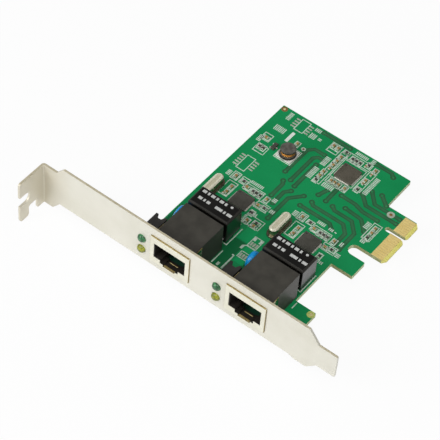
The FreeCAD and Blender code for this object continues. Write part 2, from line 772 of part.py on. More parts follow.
def port_housing(number, centre):
    """Moulded jack body: collar inside the shell, keyed cavity, floor window and posts."""
    housing = new_body("port_%d_housing" % number)
    half = "Dim.housing_width / 2"
    collar = new_sketch(housing, "XZ_Plane", "-Dim.shell_front - Dim.shell_sheet")
    rectangle(
        collar,
        "%s - %s" % (centre, half),
        "Dim.board_top + Dim.shell_sheet",
        "%s + %s" % (centre, half),
        "Dim.shell_top - Dim.shell_sheet",
    )
    pad(housing, collar, "Dim.lip_back - Dim.shell_front - Dim.shell_sheet", TOWARDS_BACK)
    block = new_sketch(housing, "XZ_Plane", "-Dim.lip_back")
    rectangle(block, "%s - %s" % (centre, half), "Dim.board_top",
              "%s + %s" % (centre, half), "Dim.housing_top")
    pad(housing, block, "Dim.housing_back - Dim.lip_back", TOWARDS_BACK)
    cavity = new_sketch(housing, "XZ_Plane", "-Dim.shell_front - Dim.shell_sheet")
    mouth(cavity, centre, ("Dim.cavity_width / 2", "Dim.latch_width / 2", "Dim.key_width / 2"))
    pocket(housing, cavity, "Dim.cavity_back - Dim.shell_front - Dim.shell_sheet")
    bay = new_sketch(housing, "XZ_Plane", "-Dim.bay_front")
    rectangle(bay, "%s - Dim.carrier_width / 2" % centre, "Dim.mouth_high",
              "%s + Dim.carrier_width / 2" % centre, "Dim.carrier_top")
    pocket(housing, bay, "Dim.carrier_back - Dim.bay_front")
    well = new_sketch(housing, "XY_Plane", "Dim.board_top")
    rectangle(well, "%s - Dim.carrier_width / 2" % centre, "Dim.well_front",
              "%s + Dim.carrier_width / 2" % centre, "Dim.carrier_back")
    pocket(housing, well, "Dim.carrier_top - Dim.board_top", True)
    window = new_sketch(housing, "XY_Plane", "Dim.board_top")
    rectangle(window, "%s - Dim.latch_width / 2" % centre, "Dim.floor_window_front",
              "%s + Dim.latch_width / 2" % centre, "Dim.floor_window_back")
    pocket(housing, window, "Dim.latch_low - Dim.board_top + 0.5", True)
    posts = new_sketch(housing, "XY_Plane", "Dim.board_low - 0.3")
    for side in ("-", "+"):
        many_sided(posts, "%s %s Dim.post_spacing / 2" % (centre, side), "Dim.post_y",
                   "Dim.post_radius", POST_SIDES)
    pad(housing, posts, "Dim.board_thickness + 0.3")
    return housing


def contact_carrier(number, centre):
    """Insert that slides in from behind and holds the eight wires apart."""
    carrier = new_body("port_%d_contact_carrier" % number)
    side_view = new_sketch(carrier, "YZ_Plane", "%s - Dim.carrier_width / 2" % centre)
    polygon(side_view, [
        ("Dim.carrier_front", "Dim.carrier_low"),
        ("Dim.well_front", "Dim.carrier_low"),
        ("Dim.well_front", "Dim.board_top"),
        ("Dim.carrier_back", "Dim.board_top"),
        ("Dim.carrier_back", "Dim.carrier_top"),
        ("Dim.carrier_front", "Dim.carrier_top"),
    ])
    pad(carrier, side_view, "Dim.carrier_width")
    groove = new_sketch(carrier, "XY_Plane", "Dim.carrier_top")
    box_at(groove, "(%s - 3.5 * Dim.wire_pitch)" % centre,
           "(Dim.carrier_front + Dim.carrier_back) / 2",
           "Dim.wire_size", "(Dim.carrier_back - Dim.carrier_front + 1)")
    cut = pocket(carrier, groove, "Dim.carrier_top - Dim.wire_high + Dim.wire_size / 2")
    pattern(carrier, cut, (groove, ["H_Axis"]), "Dim.wire_pitch", 8)
    for first, row in ((0, "Dim.lead_row_one"), (1, "Dim.lead_row_two")):
        shaft = new_sketch(carrier, "XY_Plane", "Dim.board_top")
        box_at(shaft, "(%s + (%s) * Dim.wire_pitch)" % (centre, first - 3.5), row,
               "Dim.wire_size", "Dim.wire_size")
        drop = pocket(carrier, shaft, "Dim.wire_high - Dim.board_top", True)
        pattern(carrier, drop, (shaft, ["H_Axis"]), "2 * Dim.wire_pitch", 4)
    return carrier


def contact_wires(number, centre):
    """Eight sprung wires: up from the board, forward over the carrier, back and down."""
    wires = new_body("port_%d_contacts" % number)
    for first, row in ((0, "Dim.lead_row_one"), (1, "Dim.lead_row_two")):
        level = "%s + (%s) * Dim.wire_pitch" % (centre, first - 3.5)
        path = new_sketch(wires, "YZ_Plane", level)
        half = "Dim.wire_size / 2"
        polygon(path, [
            (row + " - " + half, "Dim.board_low - Dim.lead_tail"),
            (row + " + " + half, "Dim.board_low - Dim.lead_tail"),
            (row + " + " + half, "Dim.wire_high + " + half),
            ("Dim.wire_front", "Dim.wire_high + " + half),
            ("Dim.wire_front - " + half, "Dim.wire_high"),
            ("Dim.wire_front - " + half, "Dim.wire_low"),
            ("Dim.wire_front", "Dim.wire_low - 1.4 * " + half),
            ("Dim.wire_tip_y", "Dim.wire_tip_z - " + half),
            ("Dim.wire_tip_y + " + half, "Dim.wire_tip_z + " + half),
            ("Dim.wire_front + 2 * " + half, "Dim.wire_low"),
            ("Dim.wire_front + " + half, "Dim.wire_low + " + half),
            ("Dim.wire_front + " + half, "Dim.wire_high - " + half),
            (row + " - " + half, "Dim.wire_high - " + half),
        ])
        wire = pad(wires, path, "Dim.wire_size")
        wire.Midplane = True
        pattern(wires, wire, (x_axis_of(wires), [""]), "2 * Dim.wire_pitch", 4)
    return wires




for number in (1, 2):
    centre = "(Dim.port_one + %d * Dim.port_pitch)" % (number - 1)
    port_shell(number, centre)
    port_housing(number, centre)
    contact_carrier(number, centre)
    contact_wires(number, centre)


# ---------------------------------------------------------------- status lamps
def lamp(label, centre, level):
    """3 mm lamp lying on its side: a nose rounded in two steps, straight body, flat back."""
    body = new_body(label)
    profile = new_sketch(body, "XY_Plane", level, centre)
    polygon(profile, [
        ("0", "Dim.lamp_front"),
        ("-Dim.lamp_radius * 0.55", "Dim.lamp_front"),
        ("-Dim.lamp_radius", "Dim.lamp_front + Dim.lamp_radius * 0.6"),
        ("-Dim.lamp_radius", "Dim.lamp_back"),
        ("0", "Dim.lamp_back"),
    ])
    turned = body.newObject("PartDesign::Revolution", label + "_turned")
    turned.Profile = profile
    turned.ReferenceAxis = (profile, ["V_Axis"])
    turned.Angle = 360
    doc.recompute()
    return body


def lamp_holder(number, centre):
    """Moulded spacer that carries a pair of lamps at their heights above the board."""
    holder = new_body("lamp_holder_%d" % number)
    side = new_sketch(holder, "YZ_Plane", "%s - Dim.lamp_holder_width / 2" % centre)
    rectangle(side, "Dim.lamp_holder_front", "Dim.board_top", "Dim.lamp_holder_back", "Dim.lamp_holder_top")
    pad(holder, side, "Dim.lamp_holder_width")
    bores = new_sketch(holder, "XZ_Plane", "-Dim.lamp_holder_front")
    for level in ("Dim.lamp_low", "Dim.lamp_high"):
        circle(bores, centre, level, "Dim.lamp_radius")
    pocket(holder, bores, "Dim.lamp_back - Dim.lamp_holder_front")
    chamber = new_sketch(holder, "XZ_Plane", "-Dim.lamp_chamber_front")
    rectangle(chamber, "%s - Dim.lamp_chamber_width / 2" % centre, "Dim.board_top - 1",
              "%s + Dim.lamp_chamber_width / 2" % centre, "Dim.lamp_chamber_top")
    pocket(holder, chamber, "Dim.lamp_holder_back - Dim.lamp_chamber_front + 1")
    notch = new_sketch(holder, "XY_Plane", "Dim.lamp_holder_top")
    polygon(notch, [
        ("%s - Dim.lamp_notch" % centre, "Dim.lamp_holder_back + 0.1"),
        ("%s - Dim.lamp_notch / 2" % centre, "Dim.lamp_holder_back - Dim.lamp_notch"),
        ("%s + Dim.lamp_notch / 2" % centre, "Dim.lamp_holder_back - Dim.lamp_notch"),
        ("%s + Dim.lamp_notch" % centre, "Dim.lamp_holder_back + 0.1"),
    ])
    pocket(holder, notch, "Dim.lamp_holder_top - Dim.lamp_chamber_top + 0.1")
    return holder


def lamp_leads(number, centre):
    """Two bent leads from the back of each lamp, down through the board."""
    leads = new_body("lamp_leads_%d" % number)
    half = "Dim.lamp_lead / 2"
    for level, row in (("Dim.lamp_low", "Dim.lamp_lead_low_y"), ("Dim.lamp_high", "Dim.lamp_lead_high_y")):
        bend = new_sketch(leads, "YZ_Plane", "%s - Dim.lamp_lead_pitch / 2" % centre)
        polygon(bend, [
            ("Dim.lamp_back", level + " - " + half),
            (row + " - " + half, level + " - " + half),
            (row + " - " + half, "Dim.board_low - Dim.lead_tail"),
            (row + " + " + half, "Dim.board_low - Dim.lead_tail"),
            (row + " + " + half, level + " + " + half),
            ("Dim.lamp_back", level + " + " + half),
        ])
        lead = pad(leads, bend, "Dim.lamp_lead")
        lead.Midplane = True
        pattern(leads, lead, (x_axis_of(leads), [""]), "Dim.lamp_lead_pitch", 2)
    return leads


for number in (1, 2):
    centre = "(Dim.lamp_one + %d * Dim.lamp_pitch)" % (number - 1)
    lamp("lamp_green_%d" % number, centre, "Dim.lamp_high")
    lamp("lamp_yellow_%d" % number, centre, "Dim.lamp_low")
    lamp_holder(number, centre)
    lamp_leads(number, centre)


# ---------------------------------------------------------------- transformers
def transformer(number, centre):
    """Moulded case of the line transformers, with a gull-wing lead row down each side."""
    case = new_body("transformer_%d" % number)
    footprint = new_sketch(case, "XY_Plane", "Dim.magnetics_low")
    rectangle(footprint, "%s - Dim.magnetics_width / 2" % centre, "Dim.magnetics_front",
              "%s + Dim.magnetics_width / 2" % centre, "Dim.magnetics_back")
    pad(case, footprint, "Dim.magnetics_top - Dim.magnetics_low")
    case_top = [index for index, face in enumerate(case.Tip.Shape.Faces, start=1)
                if face.CenterOfMass.z > float(sheet.get("magnetics_top")) - 0.01]
    dressed = case.Tip
    bevelled = case.newObject("PartDesign::Chamfer", "transformer_bevel")
    bevelled.Base = (dressed, ["Face%d" % index for index in case_top])
    bevelled.setExpression("Size", "Dim.magnetics_chamfer")
    doc.recompute()

    leads = new_body("transformer_leads_%d" % number)
    for towards, wall in ((-1, "Dim.magnetics_front"), (1, "Dim.magnetics_back")):
        wing = new_sketch(leads, "YZ_Plane", "%s - 5.5 * Dim.magnetics_lead_pitch" % centre)
        gauge = "Dim.magnetics_lead_sheet"
        knee = "%s + %d * 0.7" % (wall, towards)
        toe = "%s + %d * (0.7 + Dim.magnetics_lead_foot)" % (wall, towards)
        polygon(wing, [
            (wall, "Dim.magnetics_lead_exit"),
            (knee, "Dim.magnetics_lead_exit"),
            (knee, "Dim.board_top + " + gauge),
            (toe, "Dim.board_top + " + gauge),
            (toe, "Dim.board_top"),
            ("%s - %d * %s" % (knee, towards, gauge), "Dim.board_top"),
            ("%s - %d * %s" % (knee, towards, gauge), "Dim.magnetics_lead_exit - " + gauge),
            (wall, "Dim.magnetics_lead_exit - " + gauge),
        ])
        lead = pad(leads, wing, "Dim.magnetics_lead_width")
        lead.Midplane = True
        pattern(leads, lead, (x_axis_of(leads), [""]), "Dim.magnetics_lead_pitch", 12)
    return case


for number in (1, 2):
    transformer(number, "(Dim.magnetics_one + %d * Dim.port_pitch)" % (number - 1))


# ---------------------------------------------------------------- flat chips
def flat_chip(label, x, y, side, pads):
    """Square moulded package on a ring of solder pads, as one body and one pad group."""
    body = new_body(label)
    outline = new_sketch(body, "XY_Plane", "Dim.board_top + Dim.chip_gap")
    box_at(outline, x, y, side, side)
    pad(body, outline, "Dim.chip_top - Dim.board_top - Dim.chip_gap")
    lands = new_body(label + "_leads")
    span = "(%d * Dim.chip_pad_pitch)" % (pads - 1)
    for direction in ("x", "y"):
        for towards in (-1, 1):
            land = new_sketch(lands, "XY_Plane", "Dim.board_top")
            reach = "((%s + Dim.chip_pad_length) / 2)" % side
            if direction == "x":
                box_at(land, "(%s - %s / 2)" % (x, span), "(%s + %d * %s)" % (y, towards, reach),
                       "Dim.chip_pad_width", "Dim.chip_pad_length")
            else:
                box_at(land, "(%s + %d * %s)" % (x, towards, reach), "(%s - %s / 2)" % (y, span),
                       "Dim.chip_pad_length", "Dim.chip_pad_width")
            row = pad(lands, land, "Dim.chip_pad_height")
            along = "H_Axis" if direction == "x" else "V_Axis"
            pattern(lands, row, (land, [along]), "Dim.chip_pad_pitch", pads)
    return body


flat_chip("transceiver_1", "Dim.transceiver_one_x", "Dim.transceiver_y", "Dim.transceiver_size", 10)
flat_chip("transceiver_2", "Dim.transceiver_two_x", "Dim.transceiver_y", "Dim.transceiver_size", 10)
flat_chip("switch_chip", "Dim.switch_x", "Dim.switch_y", "Dim.switch_size", 11)


# ---------------------------------------------------------------- crystals
def obround(sketch, x, y, length, width):
    """Outline with straight sides along the sketch's Y and round ends."""
    first = sketch.GeometryCount
    ring = Part.Circle(FreeCAD.Vector(0, 2, 0), FreeCAD.Vector(0, 0, 1), 1)
    lower = Part.Circle(FreeCAD.Vector(0, -2, 0), FreeCAD.Vector(0, 0, 1), 1)
    sketch.addGeometry([
        Part.ArcOfCircle(ring, 0, math.pi),
        Part.LineSegment(FreeCAD.Vector(-1, 2, 0), FreeCAD.Vector(-1, -2, 0)),
        Part.ArcOfCircle(lower, math.pi, 2 * math.pi),
        Part.LineSegment(FreeCAD.Vector(1, -2, 0), FreeCAD.Vector(1, 2, 0)),
    ])
    sketch.addConstraint([
        Sketcher.Constraint("Coincident", first, 2, first + 1, 1),
        Sketcher.Constraint("Coincident", first + 1, 2, first + 2, 1),
        Sketcher.Constraint("Coincident", first + 2, 2, first + 3, 1),
        Sketcher.Constraint("Coincident", first + 3, 2, first, 1),
    ])
    reach = "(%s - %s) / 2" % (length, width)
    left = "%s - (%s) / 2" % (x, width)
    right = "%s + (%s) / 2" % (x, width)
    bind_points(sketch, [
        (first, 1, right, "%s + %s" % (y, reach)),
        (first, 2, left, "%s + %s" % (y, reach)),
        (first, 3, None, "%s + %s" % (y, reach)),
        (first + 2, 1, left, "%s - %s" % (y, reach)),
        (first + 2, 2, right, "%s - %s" % (y, reach)),
        (first + 2, 3, None, "%s - %s" % (y, reach)),
    ])


RIM_LENGTH = "(Dim.crystal_length + 2 * Dim.crystal_rim)"
RIM_WIDTH = "(Dim.crystal_width + 2 * Dim.crystal_rim)"
insulators = new_body("crystal_insulators")
crystal_leads = new_body("crystal_leads")
for number, name in ((1, "one"), (2, "two")):
    x = "Dim.crystal_%s_x" % name
    y = "Dim.crystal_%s_y" % name
    crystal = new_body("crystal_%d" % number)
    rim = new_sketch(crystal, "XY_Plane", "Dim.crystal_low")
    obround(rim, x, y, RIM_LENGTH, RIM_WIDTH)
    pad(crystal, rim, "Dim.crystal_rim_height")
    can = new_sketch(crystal, "XY_Plane", "Dim.crystal_low + Dim.crystal_rim_height")
    obround(can, x, y, "Dim.crystal_length", "Dim.crystal_width")
    pad(crystal, can, "Dim.crystal_top - Dim.crystal_low - Dim.crystal_rim_height")
    crown = [index for index, face in enumerate(crystal.Tip.Shape.Faces, start=1)
             if face.CenterOfMass.z > float(sheet.get("crystal_top")) - 0.01]
    dressed = crystal.Tip
    rounded = crystal.newObject("PartDesign::Chamfer", "crystal_crown")
    rounded.Base = (dressed, ["Face%d" % index for index in crown])
    rounded.setExpression("Size", "Dim.crystal_crown")
    doc.recompute()

    gasket = new_sketch(insulators, "XY_Plane", "Dim.board_top")
    obround(gasket, x, y, RIM_LENGTH, RIM_WIDTH)
    for side in ("-", "+"):
        many_sided(gasket, x, "%s %s Dim.crystal_lead_spacing / 2" % (y, side),
                   "Dim.crystal_lead_radius", LEAD_SIDES)
    pad(insulators, gasket, "Dim.crystal_low - Dim.board_top")
    pins = new_sketch(crystal_leads, "XY_Plane", "Dim.board_low - Dim.lead_tail")
    for side in ("-", "+"):
        many_sided(pins, x, "%s %s Dim.crystal_lead_spacing / 2" % (y, side),
                   "Dim.crystal_lead_radius", LEAD_SIDES)
    pad(crystal_leads, pins, "Dim.crystal_low - Dim.board_low + Dim.lead_tail")

# ---------------------------------------------------------------- disc capacitors
disc_leads = new_body("disc_capacitor_leads")
for number in (1, 2):
    x = "(Dim.disc_one_x + %d * Dim.disc_pitch)" % (number - 1)
    disc = new_body("disc_capacitor_%d" % number)
    face = new_sketch(disc, "YZ_Plane", x)
    circle(face, "Dim.disc_y", "Dim.disc_z", "Dim.disc_radius")
    coating = pad(disc, face, "2 * Dim.disc_half")
    coating.Midplane = True
    doc.recompute()
    dressed = disc.Tip
    rounded = disc.newObject("PartDesign::Chamfer", "disc_rim")
    rims = [index for index, edge in enumerate(dressed.Shape.Edges, start=1)
            if edge.Curve.TypeId == "Part::GeomCircle"]
    rounded.Base = (dressed, ["Edge%d" % index for index in rims])
    rounded.setExpression("Size", "Dim.disc_edge")
    doc.recompute()
    seats = new_sketch(disc, "XY_Plane", "Dim.board_top")
    pins = new_sketch(disc_leads, "XY_Plane", "Dim.board_low - Dim.lead_tail")
    for side in ("-", "+"):
        spot = "Dim.disc_y %s Dim.disc_lead_spacing / 2" % side
        many_sided(seats, x, spot, "Dim.disc_lead_radius", LEAD_SIDES)
        many_sided(pins, x, spot, "Dim.disc_lead_radius", LEAD_SIDES)
    pocket(disc, seats, "Dim.disc_z - Dim.board_top", True)
    pad(disc_leads, pins, "Dim.disc_z - Dim.board_low + Dim.lead_tail")


# ---------------------------------------------------------------- power inductor
def turned_piece(label, x, y, corners):
    """Solid of revolution about a vertical axis, from an outline of radius and height."""
    body = new_body(label)
    profile = new_sketch(body, "XZ_Plane", "-" + y, x)
    polygon(profile, corners)
    turned = body.newObject("PartDesign::Revolution", label + "_turned")
    turned.Profile = profile
    turned.ReferenceAxis = (profile, ["V_Axis"])
    turned.Angle = 360
    doc.recompute()
    return body


LOWER_FLANGE = "Dim.inductor_low + Dim.inductor_flange"
UPPER_FLANGE = "Dim.inductor_top - Dim.inductor_flange"
turned_piece("inductor_core", "Dim.inductor_x", "Dim.inductor_y", [
    ("0", "Dim.inductor_low"),
    ("Dim.inductor_radius", "Dim.inductor_low"),
    ("Dim.inductor_radius", LOWER_FLANGE),
    ("Dim.inductor_waist", LOWER_FLANGE),
    ("Dim.inductor_waist", UPPER_FLANGE),
    ("Dim.inductor_radius", UPPER_FLANGE),
    ("Dim.inductor_radius", "Dim.inductor_top"),
    ("0", "Dim.inductor_top"),
])
winding = [
    ("Dim.inductor_waist", LOWER_FLANGE),
    ("Dim.winding_radius", LOWER_FLANGE),
    ("Dim.winding_radius", UPPER_FLANGE),
    ("Dim.inductor_waist", UPPER_FLANGE),
]
turned_piece("inductor_winding", "Dim.inductor_x", "Dim.inductor_y", winding)

base = new_body("inductor_base")
plate = new_sketch(base, "XY_Plane", "Dim.board_top")
box_at(plate, "Dim.inductor_x", "Dim.inductor_y", "Dim.inductor_base_side", "Dim.inductor_base_side")
pad(base, plate, "Dim.inductor_low - Dim.board_top")
terminals = new_body("inductor_terminals")
clips = new_sketch(terminals, "XY_Plane", "Dim.board_top")
for towards in (-1, 1):
    box_at(clips, "(Dim.inductor_x + %d * (Dim.inductor_base_side + Dim.terminal_length) / 2)" % towards,
           "Dim.inductor_y", "Dim.terminal_length", "Dim.inductor_base_side * 0.4")
pad(terminals, clips, "Dim.inductor_low - Dim.board_top")

# ---------------------------------------------------------------- regulator
# Three-lead package standing along the board: two leads on its left, one on its right.
regulator = new_body("regulator")
block = new_sketch(regulator, "XY_Plane", "Dim.board_top + Dim.chip_gap")
box_at(block, "Dim.regulator_x", "Dim.regulator_y", "Dim.regulator_width", "Dim.regulator_length")
pad(regulator, block, "Dim.regulator_top - Dim.board_top - Dim.chip_gap")
regulator_leads = new_body("regulator_leads")
feet = new_sketch(regulator_leads, "XY_Plane", "Dim.board_top")
for towards, along in ((-1, -1), (-1, 1), (1, 0)):
    box_at(feet, "(Dim.regulator_x + %d * (Dim.regulator_width + Dim.regulator_lead_reach) / 2)" % towards,
           "(Dim.regulator_y + %d * Dim.regulator_lead_pitch)" % along,
           "Dim.regulator_lead_reach", "Dim.regulator_lead")
pad(regulator_leads, feet, "Dim.resistor_height")

# ---------------------------------------------------------------- chip parts
# Places are (x, y, stands along Y). Each part is a body between two plated ends.
CAPACITOR_PLACES = [
    (42.8, 66.8, False), (52.7, 71.2, True), (62.8, 78.7, True), (64.7, 78.7, True),
    (67.7, 76.0, True), (67.7, 73.7, True), (67.7, 71.4, True), (66.9, 66.9, True),
    (66.9, 64.7, True), (80.4, 78.5, True), (80.2, 72.8, True), (71.2, 65.3, True),
    (72.7, 65.3, True), (74.2, 65.3, True), (76.8, 65.3, True), (45.4, 46.1, True),
    (73.2, 46.1, True), (51.3, 44.6, False), (79.2, 44.6, False), (59.6, 44.4, True),
    (87.4, 44.4, True), (47.2, 41.2, True), (47.2, 38.4, True), (75.0, 41.2, True),
    (75.0, 38.4, True), (58.9, 40.6, False), (86.5, 40.6, False), (60.0, 32.9, True),
    (63.2, 32.4, False), (94.8, 57.6, True), (94.9, 55.3, True),
]
RESISTOR_PLACES = [
    (68.0, 79.3, False), (66.9, 62.5, True), (80.2, 68.0, True), (49.0, 46.0, False),
    (76.7, 46.0, False), (53.9, 44.4, True), (55.3, 44.4, True), (56.8, 44.4, True),
    (81.7, 44.4, True), (83.1, 44.4, True), (84.6, 44.4, True), (61.3, 41.0, False),
    (88.8, 41.1, False), (59.2, 36.6, True), (87.2, 36.4, True), (71.2, 78.1, True),
    (72.7, 78.1, True), (74.2, 78.1, True), (77.1, 79.3, True), (43.3, 62.2, True),
    (44.8, 62.2, True), (94.8, 52.9, True), (63.2, 34.0, False),
]


def brick(name, x, y, width, length, rise):
    """Box standing on the board, centred on a point, with every size bound."""
    box = doc.addObject("Part::Box", name)
    box.setExpression("Length", width)
    box.setExpression("Width", length)
    box.setExpression("Height", rise)
    box.setExpression("Placement.Base.x", "%s - (%s) / 2" % (x, width))
    box.setExpression("Placement.Base.y", "%s - (%s) / 2" % (y, length))
    box.setExpression("Placement.Base.z", "Dim.board_top")
    return box


def group(label, members):
    """Separate solids of one kind, kept together as one node."""
    together = doc.addObject("Part::Compound", label)
    together.Label = label
    together.Links = members
    place(together)
    return together


terminal_boxes = []
for label, places, rise in (
    ("chip_capacitors", CAPACITOR_PLACES, "Dim.capacitor_height"),
    ("chip_resistors", RESISTOR_PLACES, "Dim.resistor_height"),
):
    middle_boxes = []
    core = "(Dim.chip_length - 2 * Dim.terminal_length)"
    offset = "((Dim.chip_length - Dim.terminal_length) / 2)"
    for x, y, upright in places:
        if upright:
            middle_boxes.append(brick(label + "_middle", x, y, "Dim.chip_width", core, rise))
        else:
            middle_boxes.append(brick(label + "_middle", x, y, core, "Dim.chip_width", rise))
        for sign in ("-", "+"):
            if upright:
                end = "%s %s %s" % (y, sign, offset)
                terminal = brick(label + "_end", x, end, "Dim.chip_width", "Dim.terminal_length", rise)
            else:
                end = "%s %s %s" % (x, sign, offset)
                terminal = brick(label + "_end", end, y, "Dim.terminal_length", "Dim.chip_width", rise)
            terminal_boxes.append(terminal)
    group(label, middle_boxes)
group("chip_terminals", terminal_boxes)

# ---------------------------------------------------------------- output
doc.recompute()
NODES = [item for item in doc.Objects if item.TypeId in ("PartDesign::Body", "Part::Compound")]
for item in doc.Objects:
    if "Invalid" in item.State or "Error" in item.State:
        raise RuntimeError(item.Label + " failed: " + ", ".join(item.State))
for node in NODES:
    if node.Shape.isNull() or not node.Shape.isValid():
        raise RuntimeError(node.Label + ": bad shape")

os.makedirs("parts", exist_ok=True)
for node in NODES:
    node.Shape.exportStep("parts/%s.step" % node.Label)
    print(node.Label, len(node.Shape.Solids), round(node.Shape.Volume, 2))
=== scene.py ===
import math

import bpy
from mathutils import Matrix, Vector


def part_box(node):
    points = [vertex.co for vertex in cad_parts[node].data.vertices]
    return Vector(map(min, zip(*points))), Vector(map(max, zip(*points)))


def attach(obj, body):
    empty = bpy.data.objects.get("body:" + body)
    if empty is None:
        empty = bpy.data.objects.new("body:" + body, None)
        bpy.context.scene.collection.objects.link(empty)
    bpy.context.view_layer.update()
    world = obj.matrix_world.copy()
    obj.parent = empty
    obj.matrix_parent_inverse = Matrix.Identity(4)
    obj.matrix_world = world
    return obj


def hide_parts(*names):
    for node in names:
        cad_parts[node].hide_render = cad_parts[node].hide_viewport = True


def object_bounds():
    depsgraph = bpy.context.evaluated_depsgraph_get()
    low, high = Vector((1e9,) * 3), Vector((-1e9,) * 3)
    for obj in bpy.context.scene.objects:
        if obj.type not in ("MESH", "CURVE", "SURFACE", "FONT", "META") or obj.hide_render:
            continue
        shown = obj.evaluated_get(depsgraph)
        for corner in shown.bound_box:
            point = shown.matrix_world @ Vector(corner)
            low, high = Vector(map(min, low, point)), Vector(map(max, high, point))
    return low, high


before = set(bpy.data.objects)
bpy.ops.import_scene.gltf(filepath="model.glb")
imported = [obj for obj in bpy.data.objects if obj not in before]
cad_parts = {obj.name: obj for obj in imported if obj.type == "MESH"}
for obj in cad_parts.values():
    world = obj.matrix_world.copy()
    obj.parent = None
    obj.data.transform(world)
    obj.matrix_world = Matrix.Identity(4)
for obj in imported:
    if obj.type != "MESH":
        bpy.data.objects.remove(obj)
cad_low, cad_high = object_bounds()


# ---------------------------------------------------------------- bracket
# The bracket is one pressed steel sheet, nickel plated, folded at the screw tab. The
# plating is warm and slightly cloudy, and painted shade darkens it next to the fold. Two
# zinc-plated screws hold the board on its ears.
MM = 0.001
SHEET_ROUND = 0.12 * MM
SCREW_ROUND = 0.08 * MM
CROOK_SHADE_WIDTH = 13 * MM
CROOK_SHADE_SHARE = 0.35
UPPER_EDGE_FROM = 12 * MM
WELD = 0.002 * MM
FLAT_ANGLE = math.radians(0.5)
SHARP_ANGLE = math.radians(30)
CLOUD_DETAIL = 3.0
CLOUD_RANGE = (0.35, 0.65)
GLOSS_SWING = 0.15
GRAIN_SHARE = 1 / 12
GRAIN_DEPTH = 0.1 * MM


class Socket:
    """A value in a material's node tree. Sums and products of it add Math nodes."""

    def __init__(self, tree, socket=None):
        self.tree = tree
        self.socket = socket

    def make(self, kind, settings, sockets, output=0):
        """Add any node: its settings are set first, then its sockets' values or links."""
        node = self.tree.nodes.new(kind)
        for name, value in settings.items():
            setattr(node, name, value)
        for name, value in sockets.items():
            if isinstance(value, Socket):
                self.tree.links.new(value.socket, node.inputs[name])
            else:
                node.inputs[name].default_value = value
        return Socket(self.tree, node.outputs[output])

    def maths(self, operation, first, second):
        return self.make("ShaderNodeMath", {"operation": operation}, {0: first, 1: second})

    def __add__(self, other):
        return self.maths("ADD", self, other)

    def __radd__(self, other):
        return self.maths("ADD", other, self)

    def __sub__(self, other):
        return self.maths("SUBTRACT", self, other)

    def __rsub__(self, other):
        return self.maths("SUBTRACT", other, self)

    def __mul__(self, other):
        return self.maths("MULTIPLY", self, other)

    def __rmul__(self, other):
        return self.maths("MULTIPLY", other, self)


def mixed(shade, amount, dark, light):
    """Colour between two others."""
    return shade.make("ShaderNodeMix", {"data_type": "RGBA"}, {0: amount, 6: dark, 7: light}, 2)


def noise(shade, size):
    """Cloudy pattern whose patches are about size across, in metres."""
    place = shade.make("ShaderNodeTexCoord", {}, {}, "Object")
    return shade.make(
        "ShaderNodeTexNoise", {}, {"Vector": place, "Scale": 1 / size, "Detail": CLOUD_DETAIL})


def coordinate(shade, axis):
    """How far along an axis each point of the piece lies, in metres."""
    place = shade.make("ShaderNodeTexCoord", {}, {}, "Object")
    return shade.make("ShaderNodeSeparateXYZ", {}, {"Vector": place}, axis)


def ranged(shade, value, low, high):
    """Value stretched so that low gives 0 and high gives 1, held at both ends."""
    return shade.make("ShaderNodeMapRange", {}, {"Value": value, "From Min": low, "From Max": high})


def clouded(name, dark, light, patch, roughness, metallic=0.0, bump=0.0, coat=0.0):
    """Material with cloudy colour and gloss and a fine bump, and its sockets to build on."""
    material = bpy.data.materials.new(name)
    material.use_nodes = True
    tree = material.node_tree
    shader = tree.nodes["Principled BSDF"]
    shade = Socket(tree)
    cloud = noise(shade, patch)
    colour = mixed(shade, ranged(shade, cloud, *CLOUD_RANGE), (*dark, 1), (*light, 1))
    tree.links.new(colour.socket, shader.inputs["Base Color"])
    gloss = cloud * GLOSS_SWING + (roughness - GLOSS_SWING / 2)
    tree.links.new(gloss.socket, shader.inputs["Roughness"])
    shader.inputs["Metallic"].default_value = metallic
    shader.inputs["Coat Weight"].default_value = coat
    if bump:
        grain = noise(shade, patch * GRAIN_SHARE)
        relief = shade.make(
            "ShaderNodeBump", {}, {"Strength": bump, "Distance": GRAIN_DEPTH, "Height": grain})
        tree.links.new(relief.socket, shader.inputs["Normal"])
    return material, shade, shader, colour


def finish(*recipe, **extras):
    """Clouded material by itself."""
    return clouded(*recipe, **extras)[0]


def only_selected(piece):
    bpy.ops.object.select_all(action="DESELECT")
    piece.select_set(True)
    bpy.context.view_layer.objects.active = piece


def applied(piece, kind, **settings):
    """Add a modifier to a piece and apply it."""
    only_selected(piece)
    modifier = piece.modifiers.new(kind.lower(), kind)
    for name, value in settings.items():
        setattr(modifier, name, value)
    bpy.ops.object.modifier_apply(modifier=modifier.name)


def settled(piece, material):
    """Give a new piece its material and its body, with its place in its mesh."""
    only_selected(piece)
    bpy.ops.object.transform_apply(location=True, rotation=True, scale=True)
    if not piece.data.materials:
        piece.data.materials.append(material)
    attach(piece, "root")
    return piece


def softened(node, material, width, smooth=35):
    """Copy of a CAD piece whose sharp edges are rounded, standing for that piece."""
    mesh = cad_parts[node].data.copy()
    mesh.materials.clear()
    piece = bpy.data.objects.new(node + "_finished", mesh)
    bpy.context.scene.collection.objects.link(piece)
    only_selected(piece)
    bpy.ops.object.mode_set(mode="EDIT")
    bpy.ops.mesh.select_all(action="SELECT")
    bpy.ops.mesh.remove_doubles(threshold=WELD)
    bpy.ops.mesh.dissolve_limited(angle_limit=FLAT_ANGLE)
    bpy.ops.object.mode_set(mode="OBJECT")
    applied(piece, "BEVEL", width=width, segments=2, limit_method="ANGLE",
            angle_limit=SHARP_ANGLE, use_clamp_overlap=True)
    bpy.ops.object.shade_smooth_by_angle(angle=math.radians(smooth))
    applied(piece, "WEIGHTED_NORMAL", weight=100, keep_sharp=True)
    settled(piece, material)
    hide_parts(node)
    return piece


def painted(node, material):
    """Give a CAD piece its material."""
    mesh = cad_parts[node].data
    mesh.materials.clear()
    mesh.materials.append(material)


